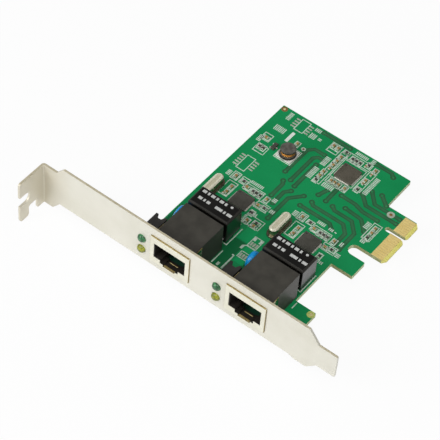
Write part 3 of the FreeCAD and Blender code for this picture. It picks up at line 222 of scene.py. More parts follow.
def refaced(piece, skin_for, *skins):
    """Add further finishes to a piece, and give each face the one that skin_for names."""
    for skin in skins:
        piece.data.materials.append(skin)
    for face in piece.data.polygons:
        skin = skin_for(face)
        if skin is not None:
            face.material_index = piece.data.materials.find(skin.name)


nickel, shade, shader, colour = clouded(
    "nickel_plate", (0.74, 0.72, 0.62), (0.80, 0.78, 0.69), 0.012, 0.42, metallic=0.25, bump=0.05)
bracket_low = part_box("bracket")[0]
# Painted shade: the plating is mixed towards a dark brown near the fold.
near_fold = 1 - ranged(shade, coordinate(shade, "X"), bracket_low.x, bracket_low.x + CROOK_SHADE_WIDTH)
crook_shade = mixed(shade, near_fold * CROOK_SHADE_SHARE, colour, (0.60, 0.50, 0.32, 1))
shade.tree.links.new(crook_shade.socket, shader.inputs["Base Color"])
cut_edge = finish("cut_edge", (0.58, 0.52, 0.36), (0.68, 0.62, 0.46), 0.002, 0.5, metallic=0.2)
screw_zinc = finish("screw_zinc", (0.45, 0.45, 0.43), (0.6, 0.6, 0.58), 0.002, 0.3, metallic=0.9)


def bracket_skin(face):
    """The upper edges of the sheet are bare where they were cut."""
    upper = face.normal.z > 0.8 and face.center.z > bracket_low.z + UPPER_EDGE_FROM
    return cut_edge if upper else None


refaced(softened("bracket", nickel, SHEET_ROUND), bracket_skin, cut_edge)
softened("bracket_screws", screw_zinc, SCREW_ROUND)


# ---------------------------------------------------------------- circuit board
# The board is green-lacquered glass-epoxy. Its sawn sides show the laminate, olive on
# the routed long sides and paler on the others. The bevelled tongue is bare and yellow.
BOARD_ROUND = 0.05 * MM
mask_green = finish(
    "green_lacquer", (0.0, 0.265, 0.078), (0.002, 0.305, 0.092), 0.02, 0.38, bump=0.04, coat=0.05)
laminate = finish("pale_laminate", (0.56, 0.62, 0.36), (0.66, 0.72, 0.46), 0.001, 0.7, bump=0.2)
laminate_olive = finish("olive_laminate", (0.30, 0.31, 0.14), (0.40, 0.41, 0.20), 0.001, 0.7, bump=0.2)
bare_bevel = finish("yellow_bevel", (0.76, 0.70, 0.16), (0.86, 0.80, 0.24), 0.001, 0.5)
board = softened("circuit_board", mask_green, BOARD_ROUND)
board_low, board_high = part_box("circuit_board")
BOARD_TOP = board_high.z
tongue_bevel_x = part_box("contacts_component_side")[1].x


def board_skin(face):
    """Beyond the fingers the tongue slopes and is bare, and every side is laminate."""
    if face.center.x > tongue_bevel_x and abs(face.normal.z) < 0.99 and face.normal.x > 0.3:
        return bare_bevel
    if abs(face.normal.z) < 0.5:
        return laminate_olive if abs(face.normal.y) > 0.7 else laminate
    return None


refaced(board, board_skin, laminate, bare_bevel, laminate_olive)


# ---------------------------------------------------------------- copper tracks
# Wide copper tracks run under the lacquer and show as darker bands, a little proud of
# it. Each ends in a round via. Whole planes of copper darken the board at the jacks.
# Places, widths and heights on the board are plain millimetres from its near left corner.
TRACK_WIDTH = 1.65
TRACK_LIFT = 0.012
MIDDLE_WIDTH = TRACK_WIDTH * 0.45
MIDDLE_LIFT = TRACK_LIFT * 1.4
VIA_RADIUS = 1.05
VIA_LIFT = TRACK_LIFT * 1.2
HOLE_RADIUS = 0.42
HOLE_LIFT = TRACK_LIFT * 1.8
PLANE_LIFT = 0.008
PATCH_LIFT = 0.014
CHAMFER_SHARE = 0.2
DISC_SIDES = 20
DISC_RIM_SHARE = 0.4
TRACKS = [
    [(18.5, 57.5), (18.5, 70.2), (20.3, 72.2), (24.4, 72.2)],
    [(22.2, 55.6), (22.2, 68.6), (23.4, 70.0), (26.4, 70.0)],
    [(24.8, 54.2), (24.8, 66.8)],
    [(20.4, 53.8), (21.2, 52.4), (21.2, 46.0)],
    [(25.2, 51.8), (23.6, 49.8), (23.6, 43.6)],
    [(29.8, 52.8), (26.3, 48.6), (26.3, 37.2)],
    [(31.2, 48.7), (43.4, 48.7), (45.4, 46.9)],
    [(33.4, 52.4), (34.6, 51.4), (47.0, 51.4), (49.9, 48.4), (49.9, 42.4)],
    [(39.8, 55.4), (41.4, 54.3), (48.4, 54.3), (52.2, 50.4), (52.2, 41.6)],
    [(43.6, 57.5), (50.4, 57.0), (54.2, 53.2)],
    [(33.2, 56.4), (34.4, 60.2)],
    [(36.7, 55.8), (36.7, 63.6)],
    [(39.4, 61.2), (45.2, 61.1), (48.8, 60.0), (54.8, 60.0)],
    [(46.2, 69.4), (50.2, 65.3), (60.4, 65.3)],
    [(44.4, 66.4), (48.2, 62.9), (60.4, 62.9)],
    [(49.8, 70.2), (53.6, 67.2)],
    [(18.4, 80.4), (29.4, 80.4)],
    [(40.4, 80.4), (46.8, 80.4), (48.2, 79.2)],
]
PLANES = [(0.6, 0.6, 27.4, 23.8), (31.8, 0.6, 53.2, 23.2), (27.4, 0.6, 31.8, 12.4)]
CLEAR_PATCHES = [(23.6, 24.2, 27.7, 30.4), (28.3, 20.9, 33.0, 23.2), (28.3, 15.6, 32.0, 17.6)]
WINDOW_SHADE_AREAS = [(9.5, 1.4, 20.6, 9.6), (40.0, 1.4, 51.1, 9.6)]
track_green = finish(
    "lacquer_over_copper", (0.022, 0.110, 0.045), (0.030, 0.132, 0.055), 0.004, 0.4, coat=0.05)
middle_green = finish(
    "lacquer_over_middle", (0.028, 0.150, 0.060), (0.038, 0.172, 0.072), 0.004, 0.4, coat=0.05)
via_green = finish("lacquer_in_via", (0.020, 0.220, 0.070), (0.035, 0.250, 0.085), 0.001, 0.4)
plane_green = finish(
    "lacquer_over_plane", (0.0, 0.140, 0.040), (0.002, 0.168, 0.050), 0.01, 0.4, coat=0.05)
clear_green = finish("clear_lacquer", (0.0, 0.36, 0.105), (0.002, 0.40, 0.125), 0.01, 0.4)
# Painted shade for the board seen through each jack's window.
painted_shade_green = finish("painted_shade_lacquer", (0.003, 0.036, 0.018), (0.005, 0.050, 0.026), 0.004, 0.5)


def on_board(x, y):
    """Point on the board's face, x and y in millimetres from its near left corner."""
    return Vector((board_low.x + x * MM, board_low.y + y * MM, BOARD_TOP))


def joined(name, pieces):
    """One named piece made of several."""
    bpy.ops.object.select_all(action="DESELECT")
    for piece in pieces:
        piece.select_set(True)
    bpy.context.view_layer.objects.active = pieces[0]
    if len(pieces) > 1:
        bpy.ops.object.join()
    pieces[0].name = name
    return pieces[0]


def select_faces(piece, wanted):
    """Select only the faces for which wanted is true, and leave the piece in edit mode."""
    only_selected(piece)
    bpy.ops.object.mode_set(mode="EDIT")
    bpy.ops.mesh.select_all(action="DESELECT")
    bpy.ops.object.mode_set(mode="OBJECT")
    for face in piece.data.polygons:
        face.select = wanted(face)
    bpy.ops.object.mode_set(mode="EDIT")


def plate(centre, size_x, size_y, height):
    """Thin slab that stands on its centre point, its upper edges chamfered. All in metres."""
    rim = min(size_x, size_y, 2 * height) * CHAMFER_SHARE
    body = height - rim
    bpy.ops.object.select_all(action="DESELECT")
    bpy.ops.mesh.primitive_cube_add(size=1, location=centre + Vector((0, 0, body / 2)))
    piece = bpy.context.active_object
    piece.scale = (size_x, size_y, body)
    bpy.ops.object.transform_apply(location=True, rotation=True, scale=True)
    select_faces(piece, lambda face: face.normal.z > 0.9)
    bpy.ops.mesh.inset(thickness=rim, depth=rim)
    bpy.ops.object.mode_set(mode="OBJECT")
    return piece


def patch(corners, height):
    """Thin slab over a rectangle of the board, all in millimetres."""
    low_x, low_y, high_x, high_y = corners
    centre = on_board((low_x + high_x) / 2, (low_y + high_y) / 2)
    return plate(centre, (high_x - low_x) * MM, (high_y - low_y) * MM, height * MM)


def disc(centre, radius, height):
    """Low round land with a chamfered rim, all in metres."""
    bpy.ops.object.select_all(action="DESELECT")
    bpy.ops.mesh.primitive_cylinder_add(
        vertices=DISC_SIDES, radius=radius, depth=height, location=centre + Vector((0, 0, height / 2)))
    piece = bpy.context.active_object
    applied(piece, "BEVEL", width=height * DISC_RIM_SHARE, segments=1, limit_method="ANGLE")
    bpy.ops.object.transform_apply(location=True, rotation=True, scale=True)
    return piece


def ribbon(route, width, height):
    """Flat band along a route on the board, all in millimetres, with mitred corners."""
    profile = bpy.data.curves.new("band_section", "CURVE")
    edge = profile.splines.new("POLY")
    edge.points.add(3)
    corners = ((-0.5, 0), (0.5, 0), (0.5, 1), (-0.5, 1))
    for point, (across, up) in zip(edge.points, corners):
        point.co = (across * width * MM, up * height * MM, 0, 1)
    edge.use_cyclic_u = True
    section = bpy.data.objects.new("band_section", profile)
    bpy.context.scene.collection.objects.link(section)
    path = bpy.data.curves.new("band", "CURVE")
    path.dimensions = "3D"
    path.twist_mode = "Z_UP"
    path.bevel_mode = "OBJECT"
    path.bevel_object = section
    path.use_fill_caps = True
    line = path.splines.new("POLY")
    line.points.add(len(route) - 1)
    for point, (x, y) in zip(line.points, route):
        point.co = (*on_board(x, y), 1)
    band = bpy.data.objects.new("band", path)
    bpy.context.scene.collection.objects.link(band)
    only_selected(band)
    bpy.ops.object.convert(target="MESH")
    bpy.ops.object.mode_set(mode="EDIT")
    bpy.ops.mesh.select_all(action="SELECT")
    bpy.ops.mesh.remove_doubles(threshold=WELD / 2)
    bpy.ops.mesh.fill_holes(sides=0)
    bpy.ops.mesh.normals_make_consistent(inside=False)
    bpy.ops.object.mode_set(mode="OBJECT")
    bpy.ops.object.shade_flat()
    bpy.data.objects.remove(section)
    return bpy.context.active_object


bands = []
middles = []
holes = []
for route in TRACKS:
    bands.append(ribbon(route, TRACK_WIDTH, TRACK_LIFT))
    middles.append(ribbon(route, MIDDLE_WIDTH, MIDDLE_LIFT))
    for x, y in (route[0], route[-1]):
        bands.append(disc(on_board(x, y), VIA_RADIUS * MM, VIA_LIFT * MM))
        holes.append(disc(on_board(x, y), HOLE_RADIUS * MM, HOLE_LIFT * MM))
settled(joined("copper_tracks", bands), track_green)
settled(joined("track_middles", middles), middle_green)
settled(joined("track_vias", holes), via_green)

# Lighter patches have no copper on either face. The floor of each jack's window gets
# painted shade, the darkest green of all.
for name, skin, height, areas in (
    ("copper_planes", plane_green, PLANE_LIFT, PLANES),
    ("clear_patches", clear_green, PATCH_LIFT, CLEAR_PATCHES),
    ("window_floor_shade", painted_shade_green, PATCH_LIFT, WINDOW_SHADE_AREAS),
):
    settled(joined(name, [patch(corners, height) for corners in areas]), skin)


# ---------------------------------------------------------------- board print
# A white printed ring stands round each chip part, and round the empty footprints. The
# places of lettering and marks hold plain bars, in rows of their own.
PRINT_WIDTH = 0.4
PRINT_LIFT = 0.03
RING_WIDTH = 0.55
RING_GAP = 0.42
END_ROOM = 0.35
BOLD_WIDTH = 0.65
DASH_SIZE = (0.9 * MM, 1.5 * MM)
ROUND_MARK = (17.3, 69.7)
ROUND_MARK_RADIUS = 0.85
WHITE_BAR = (9.85, 68.7, 11.05, 73.7)
BAR_PITCH = 0.64
BAR_WIDTH = 0.42

# Larger frames go round rows of parts, round the chips and round the empty footprints.
FRAMES = [
    (11.2, 60.6, 18.0, 67.8), (9.1, 75.2, 12.6, 80.8), (4.4, 48.4, 7.7, 55.2), (31.0, 66.0, 39.9, 75.3),
    (30.9, 75.9, 40.1, 79.0), (28.2, 60.4, 30.5, 77.3), (40.7, 66.2, 43.2, 76.5), (31.2, 63.0, 38.9, 65.9),
    (23.4, 74.7, 27.3, 79.2), (2.8, 64.3, 6.1, 67.7), (3.9, 58.4, 8.2, 62.0), (6.4, 35.6, 10.0, 42.4),
    (34.2, 35.6, 37.9, 42.4), (12.2, 42.2, 19.4, 45.1), (40.2, 42.2, 47.0, 45.1), (19.5, 38.3, 24.3, 41.4),
    (46.9, 38.3, 52.1, 41.4), (28.0, 23.6, 31.4, 28.2), (28.1, 17.9, 31.6, 20.6), (20.3, 30.6, 27.0, 34.7),
    (54.8, 50.8, 57.9, 58.7), (5.6, 43.4, 8.3, 46.8), (33.4, 43.4, 36.2, 46.8), (9.2, 43.6, 12.2, 46.6),
]

# Single lines mark the room that each jack needs, and the lamp beside it.
LINES = [
    (PRINT_WIDTH, [(22.7, 19.4), (22.7, 28.0)]),
    (PRINT_WIDTH, [(21.4, 19.3), (22.9, 19.3)]),
    (PRINT_WIDTH, [(52.8, 19.4), (52.8, 28.0)]),
    (PRINT_WIDTH, [(51.5, 19.3), (53.0, 19.3)]),
    (BOLD_WIDTH, [(27.3, 10.4), (27.3, 17.3), (26.6, 17.3)]),
    (PRINT_WIDTH, [(23.3, 10.4), (23.3, 16.6)]),
    (PRINT_WIDTH, [(26.9, 22.6), (28.0, 23.4), (33.0, 23.4)]),
    (PRINT_WIDTH, [(54.6, 12.2), (54.6, 15.0)]),
]
DASHES = [(27.1, 21.9), (25.3, 11.3), (28.6, 27.2), (30.9, 27.2)]

# Blocks of short bars stand where a board has its lettering. Nothing is spelt out.
BAR_BLOCKS = [
    (25.3, 68.0, 27.3, 73.0), (24.8, 60.4, 26.8, 66.4), (32.0, 79.6, 37.4, 81.0), (38.4, 79.6, 39.9, 81.8),
    (43.9, 66.5, 45.7, 75.8), (31.2, 60.4, 36.0, 62.4), (15.0, 79.2, 17.8, 80.8), (15.0, 75.4, 17.8, 77.9),
    (18.4, 76.2, 19.7, 78.0), (12.4, 45.8, 17.6, 47.2), (22.7, 43.8, 24.4, 46.0), (24.8, 39.4, 27.0, 41.0),
    (39.8, 46.2, 43.2, 47.6), (44.4, 46.2, 46.8, 47.4), (51.0, 43.0, 52.9, 44.8), (52.4, 38.2, 54.2, 40.2),
    (52.6, 54.6, 54.4, 58.2), (55.2, 48.9, 57.7, 50.5), (3.4, 43.6, 5.0, 46.6), (31.2, 43.6, 33.0, 46.6),
    (19.8, 34.9, 23.6, 36.2), (48.4, 32.6, 51.8, 33.8), (2.0, 62.6, 3.6, 66.4), (4.0, 77.0, 5.6, 81.0),
    (19.6, 31.2, 20.2, 34.0), (3.4, 70.6, 8.0, 73.2), (46.8, 46.4, 47.6, 47.6),
]
print_white = finish("board_print", (0.46, 0.60, 0.48), (0.66, 0.77, 0.66), 0.0008, 0.6)
bar_white = finish("thick_print", (0.78, 0.84, 0.77), (0.86, 0.90, 0.85), 0.002, 0.6)


def solids_of(node):
    """Lowest and highest corner of each separate solid in a node, from its loose parts."""
    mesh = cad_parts[node].data.copy()
    copy = bpy.data.objects.new("apart", mesh)
    bpy.context.scene.collection.objects.link(copy)
    only_selected(copy)
    bpy.ops.object.mode_set(mode="EDIT")
    bpy.ops.mesh.select_all(action="SELECT")
    bpy.ops.mesh.remove_doubles(threshold=WELD)
    bpy.ops.mesh.separate(type="LOOSE")
    bpy.ops.object.mode_set(mode="OBJECT")
    corners = []
    for part in list(bpy.context.selected_objects):
        points = [vertex.co for vertex in part.data.vertices]
        corners.append((
            Vector([min(point[axis] for point in points) for axis in range(3)]),
            Vector([max(point[axis] for point in points) for axis in range(3)]),
        ))
        bpy.data.objects.remove(part)
    return sorted(corners, key=lambda pair: tuple(pair[0]))


def printed_box(low_x, low_y, high_x, high_y, width=PRINT_WIDTH):
    """Outline printed on the board, corners in board millimetres."""
    route = [(low_x, low_y), (high_x, low_y), (high_x, high_y), (low_x, high_y)]
    route.append((low_x, low_y - width / 2))
    return ribbon(route, width, PRINT_LIFT)


# Every chip part gets a ring that stands a little further off at its two tinned ends.
legend = []
for node in ("chip_capacitors", "chip_resistors"):
    for low, high in solids_of(node):
        upright = high.y - low.y > high.x - low.x
        reach_x = RING_GAP + (0 if upright else END_ROOM)
        reach_y = RING_GAP + (END_ROOM if upright else 0)
        legend.append(printed_box(
            (low.x - board_low.x) / MM - reach_x, (low.y - board_low.y) / MM - reach_y,
            (high.x - board_low.x) / MM + reach_x, (high.y - board_low.y) / MM + reach_y, RING_WIDTH))
for corners in FRAMES:
    legend.append(printed_box(*corners))
for width, route in LINES:
    legend.append(ribbon(route, width, PRINT_LIFT))
for x, y in DASHES:
    legend.append(plate(on_board(x, y), *DASH_SIZE, PRINT_LIFT * MM))
legend.append(disc(on_board(*ROUND_MARK), ROUND_MARK_RADIUS * MM, PRINT_LIFT * MM))
settled(joined("white_bar", [patch(WHITE_BAR, PRINT_LIFT)]), bar_white)
for low_x, low_y, high_x, high_y in BAR_BLOCKS:
    size_x = high_x - low_x
    size_y = high_y - low_y
    for index in range(int(max(size_x, size_y) / BAR_PITCH)):
        step = BAR_PITCH * (index + 0.5) - BAR_WIDTH / 2
        if size_x > size_y:
            bar = (low_x + step, low_y, low_x + step + BAR_WIDTH, high_y)
        else:
            bar = (low_x, low_y + step, high_x, low_y + step + BAR_WIDTH)
        legend.append(patch(bar, PRINT_LIFT))
settled(joined("board_print", legend), print_white)


# ---------------------------------------------------------------- empty lands
# Some footprints are left without their part. Their copper lands are tinned and stand
# bare on the lacquer.
LAND_LIFT = 0.04
LAND_PITCH = 1.27
WIDE_LAND = (1.7 * MM, 0.6 * MM)
TALL_LAND = (0.7 * MM, 1.7 * MM)

# Each row has the place of its first land, how many there are, and their size.
LAND_ROWS = [
    (8.0, 76.0, 4, WIDE_LAND), (13.6, 76.0, 4, WIDE_LAND),
    (3.2, 49.4, 5, WIDE_LAND), (9.0, 50.4, 4, WIDE_LAND),
    (28.8, 25.0, 1, TALL_LAND), (29.8, 25.0, 1, TALL_LAND), (30.8, 25.0, 1, TALL_LAND),
    (28.8, 19.1, 1, TALL_LAND), (29.8, 19.1, 1, TALL_LAND), (30.8, 19.1, 1, TALL_LAND),
]
tinned_pad = finish("tinned_pad", (0.42, 0.46, 0.37), (0.58, 0.62, 0.52), 0.001, 0.35, metallic=0.2)
lands = []
for x, y, count, size in LAND_ROWS:
    for index in range(count):
        lands.append(plate(on_board(x, y + LAND_PITCH * index), *size, LAND_LIFT * MM))
settled(joined("empty_lands", lands), tinned_pad)


# ---------------------------------------------------------------- fiducial marks
# Three round copper marks that the placing machine sights on: a bare dot in a clear
# ring. Their rings differ: laminate, tin and lacquer.
CORNER_MARK = (1.3, 80.5)
TONGUE_MARK = (56.9, 65.1)
FLAG_MARK = (60.8, 14.1)
DOT_LIFT = 0.05
brown_ring = finish("bare_laminate", (0.20, 0.10, 0.03), (0.28, 0.15, 0.05), 0.001, 0.6)
mark_gold = finish("bare_gold", (0.82, 0.72, 0.34), (0.90, 0.82, 0.44), 0.002, 0.3, metallic=0.2)
mark_olive = finish("olive_ring", (0.50, 0.60, 0.14), (0.62, 0.68, 0.20), 0.001, 0.5)
for name, skin, slot, height, spots in (
    ("corner_mark_ring", brown_ring, "board_green", 0.02, [(CORNER_MARK, 1.2)]),
    ("tongue_mark_ring", tinned_pad, "tinned_lead", 0.03, [(TONGUE_MARK, 1.4)]),
    ("flag_mark_ring", mark_olive, "board_green", 0.02, [(FLAG_MARK, 1.4)]),
    ("brown_dots", brown_ring, "board_green", DOT_LIFT, [(TONGUE_MARK, 0.6), (ROUND_MARK, 0.4)]),
    ("fiducial_dots", mark_gold, "contact_gold", DOT_LIFT, [(CORNER_MARK, 0.5), (FLAG_MARK, 0.6)]),
):
    discs = [disc(on_board(*spot), radius * MM, height * MM) for spot, radius in spots]
    settled(joined(name, discs), skin)


# ---------------------------------------------------------------- gold fingers
# Hard-gold contacts on both faces of the tongue. The lacquer stops short of them, so
# the pale laminate shows between.
WINDOW_BEHIND = 0.1 * MM
WINDOW_BEYOND = 0.14 * MM
WINDOW_BESIDE = 0.4 * MM
WINDOW_LIFT = 0.02 * MM
finger_gold = finish("hard_gold", (0.84, 0.64, 0.22), (0.93, 0.73, 0.28), 0.0015, 0.4, metallic=0.1)
window_tan = finish("bare_window", (0.66, 0.50, 0.19), (0.76, 0.60, 0.26), 0.001, 0.55)
for node in ("contacts_component_side", "contacts_solder_side"):
    painted(node, finger_gold)
fingers = solids_of("contacts_component_side")
fingers.sort(key=lambda pair: pair[0].y)
key_after = max(range(len(fingers) - 1), key=lambda i: fingers[i + 1][0].y - fingers[i][1].y)
windows = []
for first, last in ((fingers[0], fingers[key_after]), (fingers[key_after + 1], fingers[-1])):
    start_x = first[0].x - WINDOW_BEHIND
    end_x = first[1].x + WINDOW_BEYOND
    centre = Vector(((start_x + end_x) / 2, (first[0].y + last[1].y) / 2, BOARD_TOP))
    span = last[1].y - first[0].y + 2 * WINDOW_BESIDE
    windows.append(plate(centre, end_x - start_x, span, WINDOW_LIFT))
settled(joined("finger_windows", windows), window_tan)


# ---------------------------------------------------------------- network jacks
# Each jack is a black moulded body in a bright plated shell. The shell's cut edges show
# the brass of its sheet, and brass and pale brown on its lip are painted shade of the gap
# to the bracket. Its wings carry a painted dark reflection, and eight gold wires hang under
# the roof of the mouth.
SHELL_ROUND = 0.12 * MM
BODY_ROUND = 0.1 * MM
HAIR = 0.05 * MM
LIP_DEPTH = 1.9 * MM
LIP_HALF = 7.85 * MM
CHANNEL_HALF = 2.45 * MM
CHANNEL_HEIGHT = 1.0 * MM
MOUTH_HALF = 7.2 * MM
ROOF = 0.4 * MM
BACK_WALL = 0.3 * MM
STRIP_LIFT = 0.52 * MM
SMUDGE_PLACE = (0.62, 0.40)
SMUDGE_RADIUS = 3.2 * MM
SMUDGE_SQUASH = 0.6
SMUDGE_SHARE = 0.45
RAGGED_SIZE = 1.5 * MM
RAGGED_REACH = 2.4 * MM
shell_bright = finish("bright_nickel", (0.76, 0.74, 0.60), (0.84, 0.82, 0.69), 0.006, 0.35, metallic=0.15)
# Brass and a paler brown also paint the shade in the gap round each lip, and the wings' dark mirror is a
# painted reflection.
brass_and_gap_shade = finish("sheet_brass_and_gap_shade", (0.30, 0.22, 0.08), (0.42, 0.33, 0.13), 0.001, 0.35, metallic=0.3)
lip_gap_shade = finish("painted_lip_gap_shade", (0.50, 0.41, 0.22), (0.60, 0.51, 0.30), 0.001, 0.45, metallic=0.1)
wing_dark_reflection = finish("painted_reflection_nickel", (0.30, 0.29, 0.20), (0.40, 0.38, 0.28), 0.003, 0.15, metallic=0.95)
jack_black, shade, shader, colour = clouded(
    "moulded_nylon", (0.042, 0.039, 0.032), (0.058, 0.054, 0.044), 0.004, 0.5, bump=0.25)
mouth_shade = finish("mouth_shade_nylon", (0.007, 0.005, 0.003), (0.014, 0.010, 0.006), 0.002, 0.6)
spring_gold = finish("spring_gold", (0.62, 0.46, 0.12), (0.74, 0.58, 0.22), 0.002, 0.25, metallic=0.85)

# A faint dark smudge lies on the roof of the first jack.
low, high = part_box("port_1_housing")
from_x = coordinate(shade, "X") - (low.x + SMUDGE_PLACE[0] * (high.x - low.x))
from_y = coordinate(shade, "Y") - (low.y + SMUDGE_PLACE[1] * (high.y - low.y))
ragged = noise(shade, RAGGED_SIZE) * RAGGED_REACH ** 2
reach = from_x * from_x + from_y * from_y * SMUDGE_SQUASH + ragged
smudge = 1 - ranged(shade, reach, 0.0, SMUDGE_RADIUS ** 2)
soiled = mixed(shade, smudge * SMUDGE_SHARE, colour, (0.022, 0.020, 0.016, 1))
shade.tree.links.new(soiled.socket, shader.inputs["Base Color"])

for port in (1, 2):
    shell = softened("port_%d_shell" % port, shell_bright, SHELL_ROUND)
    shell_low, shell_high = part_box("port_%d_shell" % port)
    middle = (shell_low.x + shell_high.x) / 2
    only_selected(shell)
    bpy.ops.object.mode_set(mode="EDIT")
    bpy.ops.mesh.select_all(action="SELECT")
    bpy.ops.mesh.bisect(plane_co=(middle, shell_low.y + LIP_DEPTH, shell_low.z), plane_no=(0, 1, 0))
    bpy.ops.object.mode_set(mode="OBJECT")

    def shell_skin(face):
        """Behind its lip the shell's sides carry a painted dark reflection, and its cut edges are brass. On
        the lip, brass and a paler brown are painted shade of the gap to the bracket.
        """
        across = abs(face.center.x - middle)
        at_side = across > LIP_HALF
        if face.center.y >= shell_low.y + LIP_DEPTH:
            return wing_dark_reflection if abs(face.normal.x) > 0.9 else brass_and_gap_shade
        if at_side and face.normal.x > 0.5:
            return lip_gap_shade
        if at_side and face.normal.x < -0.3:
            return brass_and_gap_shade
        at_rim = at_side or face.center.z > shell_high.z - HAIR
        low_down = across < CHANNEL_HALF and face.center.z < shell_low.z + CHANNEL_HEIGHT
        channel_floor = low_down and face.normal.z > 0.5
        if abs(face.normal.y) < 0.5 and (at_rim or channel_floor):
            return brass_and_gap_shade
        return None

    refaced(shell, shell_skin, brass_and_gap_shade, wing_dark_reflection, lip_gap_shade)

    housing = softened("port_%d_housing" % port, jack_black, BODY_ROUND)
    body_low, body_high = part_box("port_%d_housing" % port)

    def housing_skin(face):
        """The walls of the mouth and of the window in its floor carry painted shade, dark brown."""
        beside = abs(face.center.x - middle) < MOUTH_HALF
        between = BOARD_TOP + HAIR < face.center.z < body_high.z - ROOF
        inside = beside and between and face.center.y < body_high.y - BACK_WALL
        return mouth_shade if inside else None

    refaced(housing, housing_skin, mouth_shade)
    # The contact carrier inside the mouth takes the same painted shade.
    painted("port_%d_contact_carrier" % port, mouth_shade)
    painted("port_%d_contacts" % port, spring_gold)

    # The shell's folded lip shows as thin brass lines in the latch channel. Each is given
    # by how far right of the middle and how deep it lies, and its size, in millimetres.
    for name, across, depth, size_x, size_y, height in (
        ("latch_edge", 0.1, 2.6, 3.3, 0.35, 0.12),
        ("latch_floor", -0.1, 0.4, 4.5, 0.6, 0.08),
    ):
        centre = Vector((middle + across * MM, body_low.y + depth * MM, BOARD_TOP + STRIP_LIFT))
        strip = plate(centre, size_x * MM, size_y * MM, height * MM)
        strip.name = "port_%d_%s" % (port, name)
        settled(strip, brass_and_gap_shade)


# ---------------------------------------------------------------- status lamps
# Round resin lamps with a domed nose, green over yellow beside each jack, carried by a
# black moulded holder with a notch in its far edge.
NOSE_REACH = 1.2 * MM
LENS_GROWTH = 0.12 * MM
DOME_SHARE = 0.42
HOLDER_ROUND = 0.1 * MM
lens_green = finish("green_resin", (0.002, 0.040, 0.010), (0.045, 0.23, 0.08), 0.0011, 0.3, coat=0.2)
lens_yellow = finish("yellow_resin", (0.10, 0.12, 0.004), (0.34, 0.35, 0.02), 0.0011, 0.3, coat=0.2)
holder_black = finish("holder_nylon", (0.028, 0.026, 0.024), (0.042, 0.040, 0.036), 0.003, 0.55, bump=0.2)
lead_tin = finish("tinned_wire", (0.56, 0.55, 0.50), (0.72, 0.71, 0.66), 0.001, 0.3, metallic=0.3)
for port in (1, 2):
    for colour_name, lens in (("green", lens_green), ("yellow", lens_yellow)):
        node = "lamp_%s_%d" % (colour_name, port)
        low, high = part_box(node)
        width = high.x - low.x
        nose = low.y - NOSE_REACH
        bpy.ops.object.select_all(action="DESELECT")
        bpy.ops.mesh.primitive_cylinder_add(
            vertices=32, radius=width / 2 + LENS_GROWTH, depth=high.y - nose,
            location=((low.x + high.x) / 2, (nose + high.y) / 2, (low.z + high.z) / 2),
            rotation=(math.pi / 2, 0, 0))
        lamp = bpy.context.active_object
        lamp.name = node + "_finished"
        bpy.ops.object.transform_apply(location=True, rotation=True, scale=True)
        select_faces(lamp, lambda face: face.normal.y < -0.9)
        bpy.ops.mesh.bevel(offset=width * DOME_SHARE, segments=8, affect="EDGES")
        bpy.ops.object.mode_set(mode="OBJECT")
        bpy.ops.object.shade_smooth_by_angle(angle=math.radians(40))
        settled(lamp, lens)
        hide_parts(node)
    softened("lamp_holder_%d" % port, holder_black, HOLDER_ROUND)
    painted("lamp_leads_%d" % port, lead_tin)


# ---------------------------------------------------------------- transformers
# Glossy black moulded cases with a bevelled top. Where makers print type, each has two
# rows of plain white bars and one dot.
CASE_ROUND = 0.2 * MM
BAR_HEIGHT = 1.15
CASE_PRINT_LIFT = 0.02 * MM

# Each row of bars lies at a height above the near side, and each bar has its start and
# its length, in millimetres.
CASE_ROWS = (
    (6.4, ((1.4, 1.5), (3.5, 0.8), (4.9, 1.5), (7.0, 0.8), (8.4, 1.5), (10.5, 0.8))),
    (3.3, ((1.9, 1.5), (4.0, 0.7), (5.3, 1.3), (8.8, 2.8), (12.2, 0.7), (13.5, 1.9))),
)
CASE_DOT = (13.2, 6.6)
CASE_DOT_RADIUS = 0.5
case_black = finish("moulded_resin", (0.004, 0.0035, 0.003), (0.009, 0.008, 0.007), 0.006, 0.3, coat=0.1)
case_print = finish("case_print", (0.46, 0.47, 0.45), (0.68, 0.69, 0.67), 0.0005, 0.5)
case_edge = finish("case_edge", (0.012, 0.011, 0.008), (0.022, 0.020, 0.015), 0.004, 0.7)
for number in (1, 2):
    node = "transformer_%d" % number
    case = softened(node, case_black, CASE_ROUND)
    refaced(case, lambda face: case_edge if 0.1 < abs(face.normal.z) < 0.98 else None, case_edge)
    painted("transformer_leads_%d" % number, lead_tin)
    low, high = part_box(node)
    corner = Vector((low.x, low.y, high.z))
    marks = []
    for up_y, bars in CASE_ROWS:
        for start, length in bars:
            centre = corner + Vector(((start + length / 2) * MM, up_y * MM, 0))
            marks.append(plate(centre, length * MM, BAR_HEIGHT * MM, CASE_PRINT_LIFT))
    dot_place = corner + Vector((*CASE_DOT, 0)) * MM
    marks.append(disc(dot_place, CASE_DOT_RADIUS * MM, CASE_PRINT_LIFT))
    settled(joined("transformer_%d_bars" % number, marks), case_print)


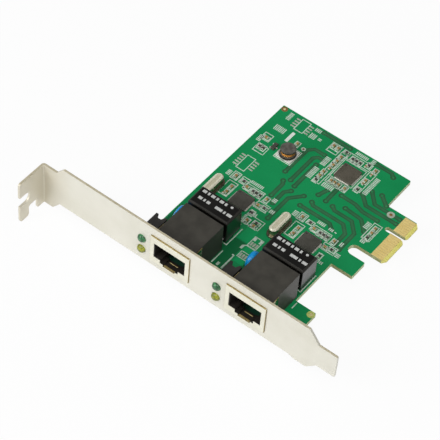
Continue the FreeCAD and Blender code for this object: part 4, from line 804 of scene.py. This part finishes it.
# ---------------------------------------------------------------- flat chips
# Matte square packages of moulded resin, with a shallow dimple at one corner. Solder
# wicks up their leads and shows as a bright line along each side.
CHIP_ROUND = 0.08 * MM
DIMPLE_INSET = 0.9 * MM
DIMPLE_RADIUS = 0.3 * MM
DIMPLE_LIFT = 0.015 * MM
SOLDER_WIDTH = 0.38 * MM
SOLDER_HEIGHT = 0.3 * MM
SOLDER_CORNER = 0.6 * MM
chip_grey = finish("chip_resin", (0.064, 0.062, 0.050), (0.084, 0.081, 0.067), 0.003, 0.5, bump=0.15)
switch_grey = finish("switch_resin", (0.086, 0.077, 0.056), (0.110, 0.098, 0.074), 0.003, 0.45, bump=0.15)
solder = finish("solder", (0.50, 0.48, 0.40), (0.74, 0.72, 0.64), 0.0008, 0.35, metallic=0.2)
for node, resin in (("transceiver_1", chip_grey), ("transceiver_2", chip_grey), ("switch_chip", switch_grey)):
    softened(node, resin, CHIP_ROUND)
    painted(node + "_leads", lead_tin)
    low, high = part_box(node)
    dimple_place = Vector((low.x + DIMPLE_INSET, high.y - DIMPLE_INSET, high.z))
    dimple = disc(dimple_place, DIMPLE_RADIUS, DIMPLE_LIFT)
    dimple.name = node + "_dimple"
    settled(dimple, holder_black)

    centre = (low + high) / 2
    span = high.x - low.x - 2 * SOLDER_CORNER
    out = (high.x - low.x) / 2 + SOLDER_WIDTH / 2
    fillets = []
    for side in (-1, 1):
        beside = Vector((centre.x + side * out, centre.y, BOARD_TOP))
        beyond = Vector((centre.x, centre.y + side * out, BOARD_TOP))
        fillets.append(plate(beside, SOLDER_WIDTH, span, SOLDER_HEIGHT))
        fillets.append(plate(beyond, span, SOLDER_WIDTH, SOLDER_HEIGHT))
    settled(joined(node + "_solder", fillets), solder)


# ---------------------------------------------------------------- crystals
# Low oval cans of drawn metal: the top is satin, the sides carry a painted dark reflection
# of the board, and the rim round the top carries a painted highlight.
CAN_ROUND = 0.1 * MM
CAN_RIM = 0.35 * MM
CAN_FOOT = 1.0 * MM
can_satin = finish("satin_can", (0.56, 0.53, 0.37), (0.66, 0.63, 0.46), 0.003, 0.4, metallic=0.15, bump=0.05)
can_side_reflection = finish("painted_reflection_can", (0.20, 0.18, 0.11), (0.36, 0.33, 0.23), 0.001, 0.2, metallic=0.9)
can_rim_highlight = finish("painted_rim_highlight", (0.76, 0.73, 0.56), (0.84, 0.81, 0.65), 0.002, 0.3, metallic=0.1)
film_black = finish("insulating_film", (0.02, 0.02, 0.02), (0.04, 0.04, 0.04), 0.002, 0.6)
for number in (1, 2):
    can = softened("crystal_%d" % number, can_satin, CAN_ROUND)
    low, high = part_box("crystal_%d" % number)
    select_faces(can, lambda face: face.normal.z > 0.98 and face.center.z > high.z - 0.1 * MM)
    bpy.ops.mesh.inset(thickness=CAN_RIM)
    bpy.ops.object.mode_set(mode="OBJECT")

    def can_skin(face):
        """The inset left only the middle of the top selected, and that stays satin."""
        if abs(face.normal.z) < 0.4 or face.center.z < low.z + CAN_FOOT:
            return can_side_reflection
        return None if face.select else can_rim_highlight

    refaced(can, can_skin, can_side_reflection, can_rim_highlight)
painted("crystal_insulators", film_black)
painted("crystal_leads", lead_tin)


# ---------------------------------------------------------------- disc capacitors
# Discs dipped in glossy blue resin, so every edge is round. They stand on two long
# leads, and the first one leans towards its jack.
LEANS = (math.radians(9), 0.0)
DIP_ROUND = 0.42
dip_blue = finish("dipped_blue", (0.004, 0.26, 0.64), (0.010, 0.36, 0.82), 0.002, 0.3)
for number, lean in zip((1, 2), LEANS):
    node = "disc_capacitor_%d" % number
    low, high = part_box(node)
    thickness = high.x - low.x
    radius = (high.z - low.z) / 2
    foot = Vector(((low.x + high.x) / 2, (low.y + high.y) / 2, low.z))
    bpy.ops.object.select_all(action="DESELECT")
    bpy.ops.mesh.primitive_cylinder_add(
        vertices=40, radius=radius, depth=thickness,
        location=foot + Vector((math.sin(lean), 0, math.cos(lean))) * radius,
        rotation=(0, math.pi / 2 + lean, 0))
    dipped = bpy.context.active_object
    dipped.name = node + "_finished"
    applied(dipped, "BEVEL", width=thickness * DIP_ROUND, segments=6, limit_method="ANGLE")
    bpy.ops.object.shade_smooth_by_angle(angle=math.radians(50))
    settled(dipped, dip_blue)
    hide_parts(node)
painted("disc_capacitor_leads", lead_tin)


# ---------------------------------------------------------------- power inductor
# A dark ferrite drum on a pale terminal base. One coil of lacquered copper wire is
# wound between the drum's flanges.
DRUM_ROUND = 0.1 * MM
BASE_ROUND = 0.08 * MM
DRUM_SHADE_RADIUS = 2.9 * MM
DRUM_SHADE_END = 3.3 * MM
TURNS = 5
WIRE_SIDES = 10
TURN_STEPS = 32
ferrite = finish("ferrite", (0.085, 0.080, 0.068), (0.145, 0.138, 0.120), 0.0015, 0.55, bump=0.3)
painted_ferrite_shade = finish("painted_ferrite_shade", (0.012, 0.010, 0.008), (0.024, 0.020, 0.016), 0.002, 0.4)
copper = finish("enamelled_copper", (0.50, 0.19, 0.03), (0.68, 0.30, 0.06), 0.001, 0.3, metallic=0.6)
base_pale, shade, shader, colour = clouded(
    "terminal_base", (0.70, 0.70, 0.64), (0.82, 0.82, 0.76), 0.002, 0.6, bump=0.2)
core = softened("inductor_core", ferrite, DRUM_ROUND, 50)
# The drum's sides carry painted shade.
refaced(core, lambda face: painted_ferrite_shade if face.normal.z < 0.7 else None, painted_ferrite_shade)

# Painted shade darkens the base round the drum, so only its corners stay pale.
low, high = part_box("inductor_winding")
centre = (low + high) / 2
from_x = coordinate(shade, "X") - centre.x
from_y = coordinate(shade, "Y") - centre.y
spread = ranged(shade, from_x * from_x + from_y * from_y, DRUM_SHADE_RADIUS ** 2, DRUM_SHADE_END ** 2)
drum_shade = mixed(shade, spread, (0.03, 0.026, 0.02, 1), colour)
shade.tree.links.new(drum_shade.socket, shader.inputs["Base Color"])
softened("inductor_base", base_pale, BASE_ROUND)
painted("inductor_terminals", lead_tin)

wire_radius = (high.z - low.z) / (TURNS + 1) / 2
bpy.ops.object.select_all(action="DESELECT")
bpy.ops.mesh.primitive_circle_add(
    vertices=WIRE_SIDES, radius=wire_radius, fill_type="NOTHING", rotation=(math.pi / 2, 0, 0),
    location=((high.x - low.x) / 2 - wire_radius, 0, low.z + wire_radius))
winding = bpy.context.active_object
winding.name = "inductor_winding_finished"
bpy.ops.object.transform_apply(location=True, rotation=True, scale=True)
applied(winding, "SCREW", axis="Z", angle=2 * math.pi, screw_offset=2 * wire_radius, iterations=TURNS,
        steps=TURN_STEPS, render_steps=TURN_STEPS, use_merge_vertices=False)
bpy.ops.object.mode_set(mode="EDIT")
bpy.ops.mesh.select_all(action="DESELECT")
bpy.ops.mesh.select_mode(type="EDGE")
bpy.ops.mesh.select_non_manifold()
bpy.ops.mesh.fill()
bpy.ops.mesh.select_all(action="SELECT")
bpy.ops.mesh.normals_make_consistent(inside=False)
bpy.ops.mesh.select_mode(type="FACE")
bpy.ops.object.mode_set(mode="OBJECT")
winding.location = (centre.x, centre.y, 0)
bpy.ops.object.shade_smooth_by_angle(angle=math.radians(60))
settled(winding, copper)
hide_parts("inductor_winding")


# ---------------------------------------------------------------- small parts
# The regulator is a moulded package on three leads. The chip capacitors and resistors
# are fired ceramic blocks with tinned ends, soldered flat on the board.
REGULATOR_ROUND = 0.08 * MM
CAPACITOR_ROUND = 0.05 * MM
RESISTOR_ROUND = 0.04 * MM
BLOCK_SIZE = (0.75 * MM, 0.75 * MM, 0.5 * MM)
END_SIZE = (0.8 * MM, 0.35 * MM, 0.52 * MM)
END_REACH = 0.55
FURTHER_PARTS = [(29.3, 68.4), (41.9, 75.2), (41.9, 70.2), (38.2, 77.2), (8.4, 36.6), (36.1, 36.6)]
fired_tan = finish("fired_tan", (0.30, 0.18, 0.06), (0.48, 0.31, 0.11), 0.001, 0.45, bump=0.2)
glaze_dark = finish("dark_glaze", (0.050, 0.043, 0.038), (0.088, 0.077, 0.068), 0.001, 0.4, bump=0.2)
softened("regulator", chip_grey, REGULATOR_ROUND)
painted("regulator_leads", lead_tin)
softened("chip_capacitors", fired_tan, CAPACITOR_ROUND)
softened("chip_resistors", glaze_dark, RESISTOR_ROUND)
softened("chip_terminals", tinned_pad, RESISTOR_ROUND)

# A few more of the same capacitors, all standing across the board.
blocks = []
ends = []
for x, y in FURTHER_PARTS:
    blocks.append(plate(on_board(x, y), *BLOCK_SIZE))
    for side in (-1, 1):
        ends.append(plate(on_board(x, y + side * END_REACH), *END_SIZE))
settled(joined("further_capacitors", blocks), fired_tan)
settled(joined("further_terminals", ends), tinned_pad)


# ---------------------------------------------------------------- floor, light, camera
# A pale floor that keeps a soft shadow, three broad lamps with a little light from all
# round, and a long lens held slightly rolled.
FLOOR_SIZE = 6
FLOOR_GREY = (0.86, 0.86, 0.86, 1)
GLOW_SHARE = 0.94
WORLD_STRENGTH = 0.15
AZIMUTH = math.radians(33.54)
ELEVATION = math.radians(50.34)
ROLL = math.radians(5.32)
DISTANCE = 0.658
LENS = 162.1
AIM_SHIFT = (-6.9 * MM, -7.0 * MM)
bpy.ops.object.select_all(action="DESELECT")
bpy.ops.mesh.primitive_plane_add(size=FLOOR_SIZE, location=(0, 0, cad_low.z))
floor = bpy.context.active_object
floor.name = "floor"
ground = bpy.data.materials.new("pale_floor")
ground.use_nodes = True
tree = ground.node_tree
tree.nodes.clear()
shade = Socket(tree)
seen = shade.make("ShaderNodeLightPath", {}, {}, "Is Camera Ray")
seen = seen + shade.make("ShaderNodeLightPath", {}, {}, "Is Glossy Ray")
seen = seen + shade.make("ShaderNodeLightPath", {}, {}, "Is Transmission Ray")
share = ranged(shade, seen, 0.0, 1.0) * GLOW_SHARE
matt = shade.make("ShaderNodeBsdfDiffuse", {}, {"Color": FLOOR_GREY})
glow = shade.make("ShaderNodeEmission", {}, {"Strength": 1.0})
blend = shade.make("ShaderNodeMixShader", {}, {0: share, 1: matt, 2: glow})
output = tree.nodes.new("ShaderNodeOutputMaterial")
tree.links.new(blend.socket, output.inputs[0])
floor.data.materials.append(ground)

world = bpy.data.worlds.new("studio")
bpy.context.scene.world = world
world.use_nodes = True
sky = world.node_tree.nodes["Background"]
sky.inputs["Color"].default_value = (1, 1, 1, 1)
sky.inputs["Strength"].default_value = WORLD_STRENGTH

# Each light has its place, its width in metres and its power in watts.
for name, place, size, power in (
    ("front_light", (-0.40, -0.70, 0.55), 0.6, 5.5),
    ("upper_light", (0.25, -0.35, 0.90), 0.6, 4.0),
    ("side_light", (0.80, -0.35, 0.35), 0.5, 1.2),
):
    light = bpy.data.lights.new(name, "AREA")
    light.size = size
    light.energy = power
    stand = bpy.data.objects.new(name, light)
    bpy.context.scene.collection.objects.link(stand)
    stand.location = place
    stand.rotation_euler = (-Vector(place)).to_track_quat("-Z", "Y").to_euler()

back = Vector((math.sin(AZIMUTH), -math.cos(AZIMUTH), math.tan(ELEVATION))).normalized()
right = Vector((0, 0, 1)).cross(back).normalized()
up = back.cross(right)
rolled_right = right * math.cos(ROLL) + up * math.sin(ROLL)
rolled_up = up * math.cos(ROLL) - right * math.sin(ROLL)
middle = (cad_low + cad_high) / 2
aim = Vector((middle.x + AIM_SHIFT[0], middle.y + AIM_SHIFT[1], board_low.z))
view = bpy.data.cameras.new("camera")
view.sensor_width = 36
view.lens = LENS
view.clip_start = 0.01
camera = bpy.data.objects.new("camera", view)
bpy.context.scene.collection.objects.link(camera)
turned = Matrix((rolled_right, rolled_up, back)).transposed().to_4x4()
camera.matrix_world = Matrix.Translation(aim + back * DISTANCE) @ turned
bpy.context.scene.camera = camera
bpy.context.scene.view_settings.view_transform = "Standard"
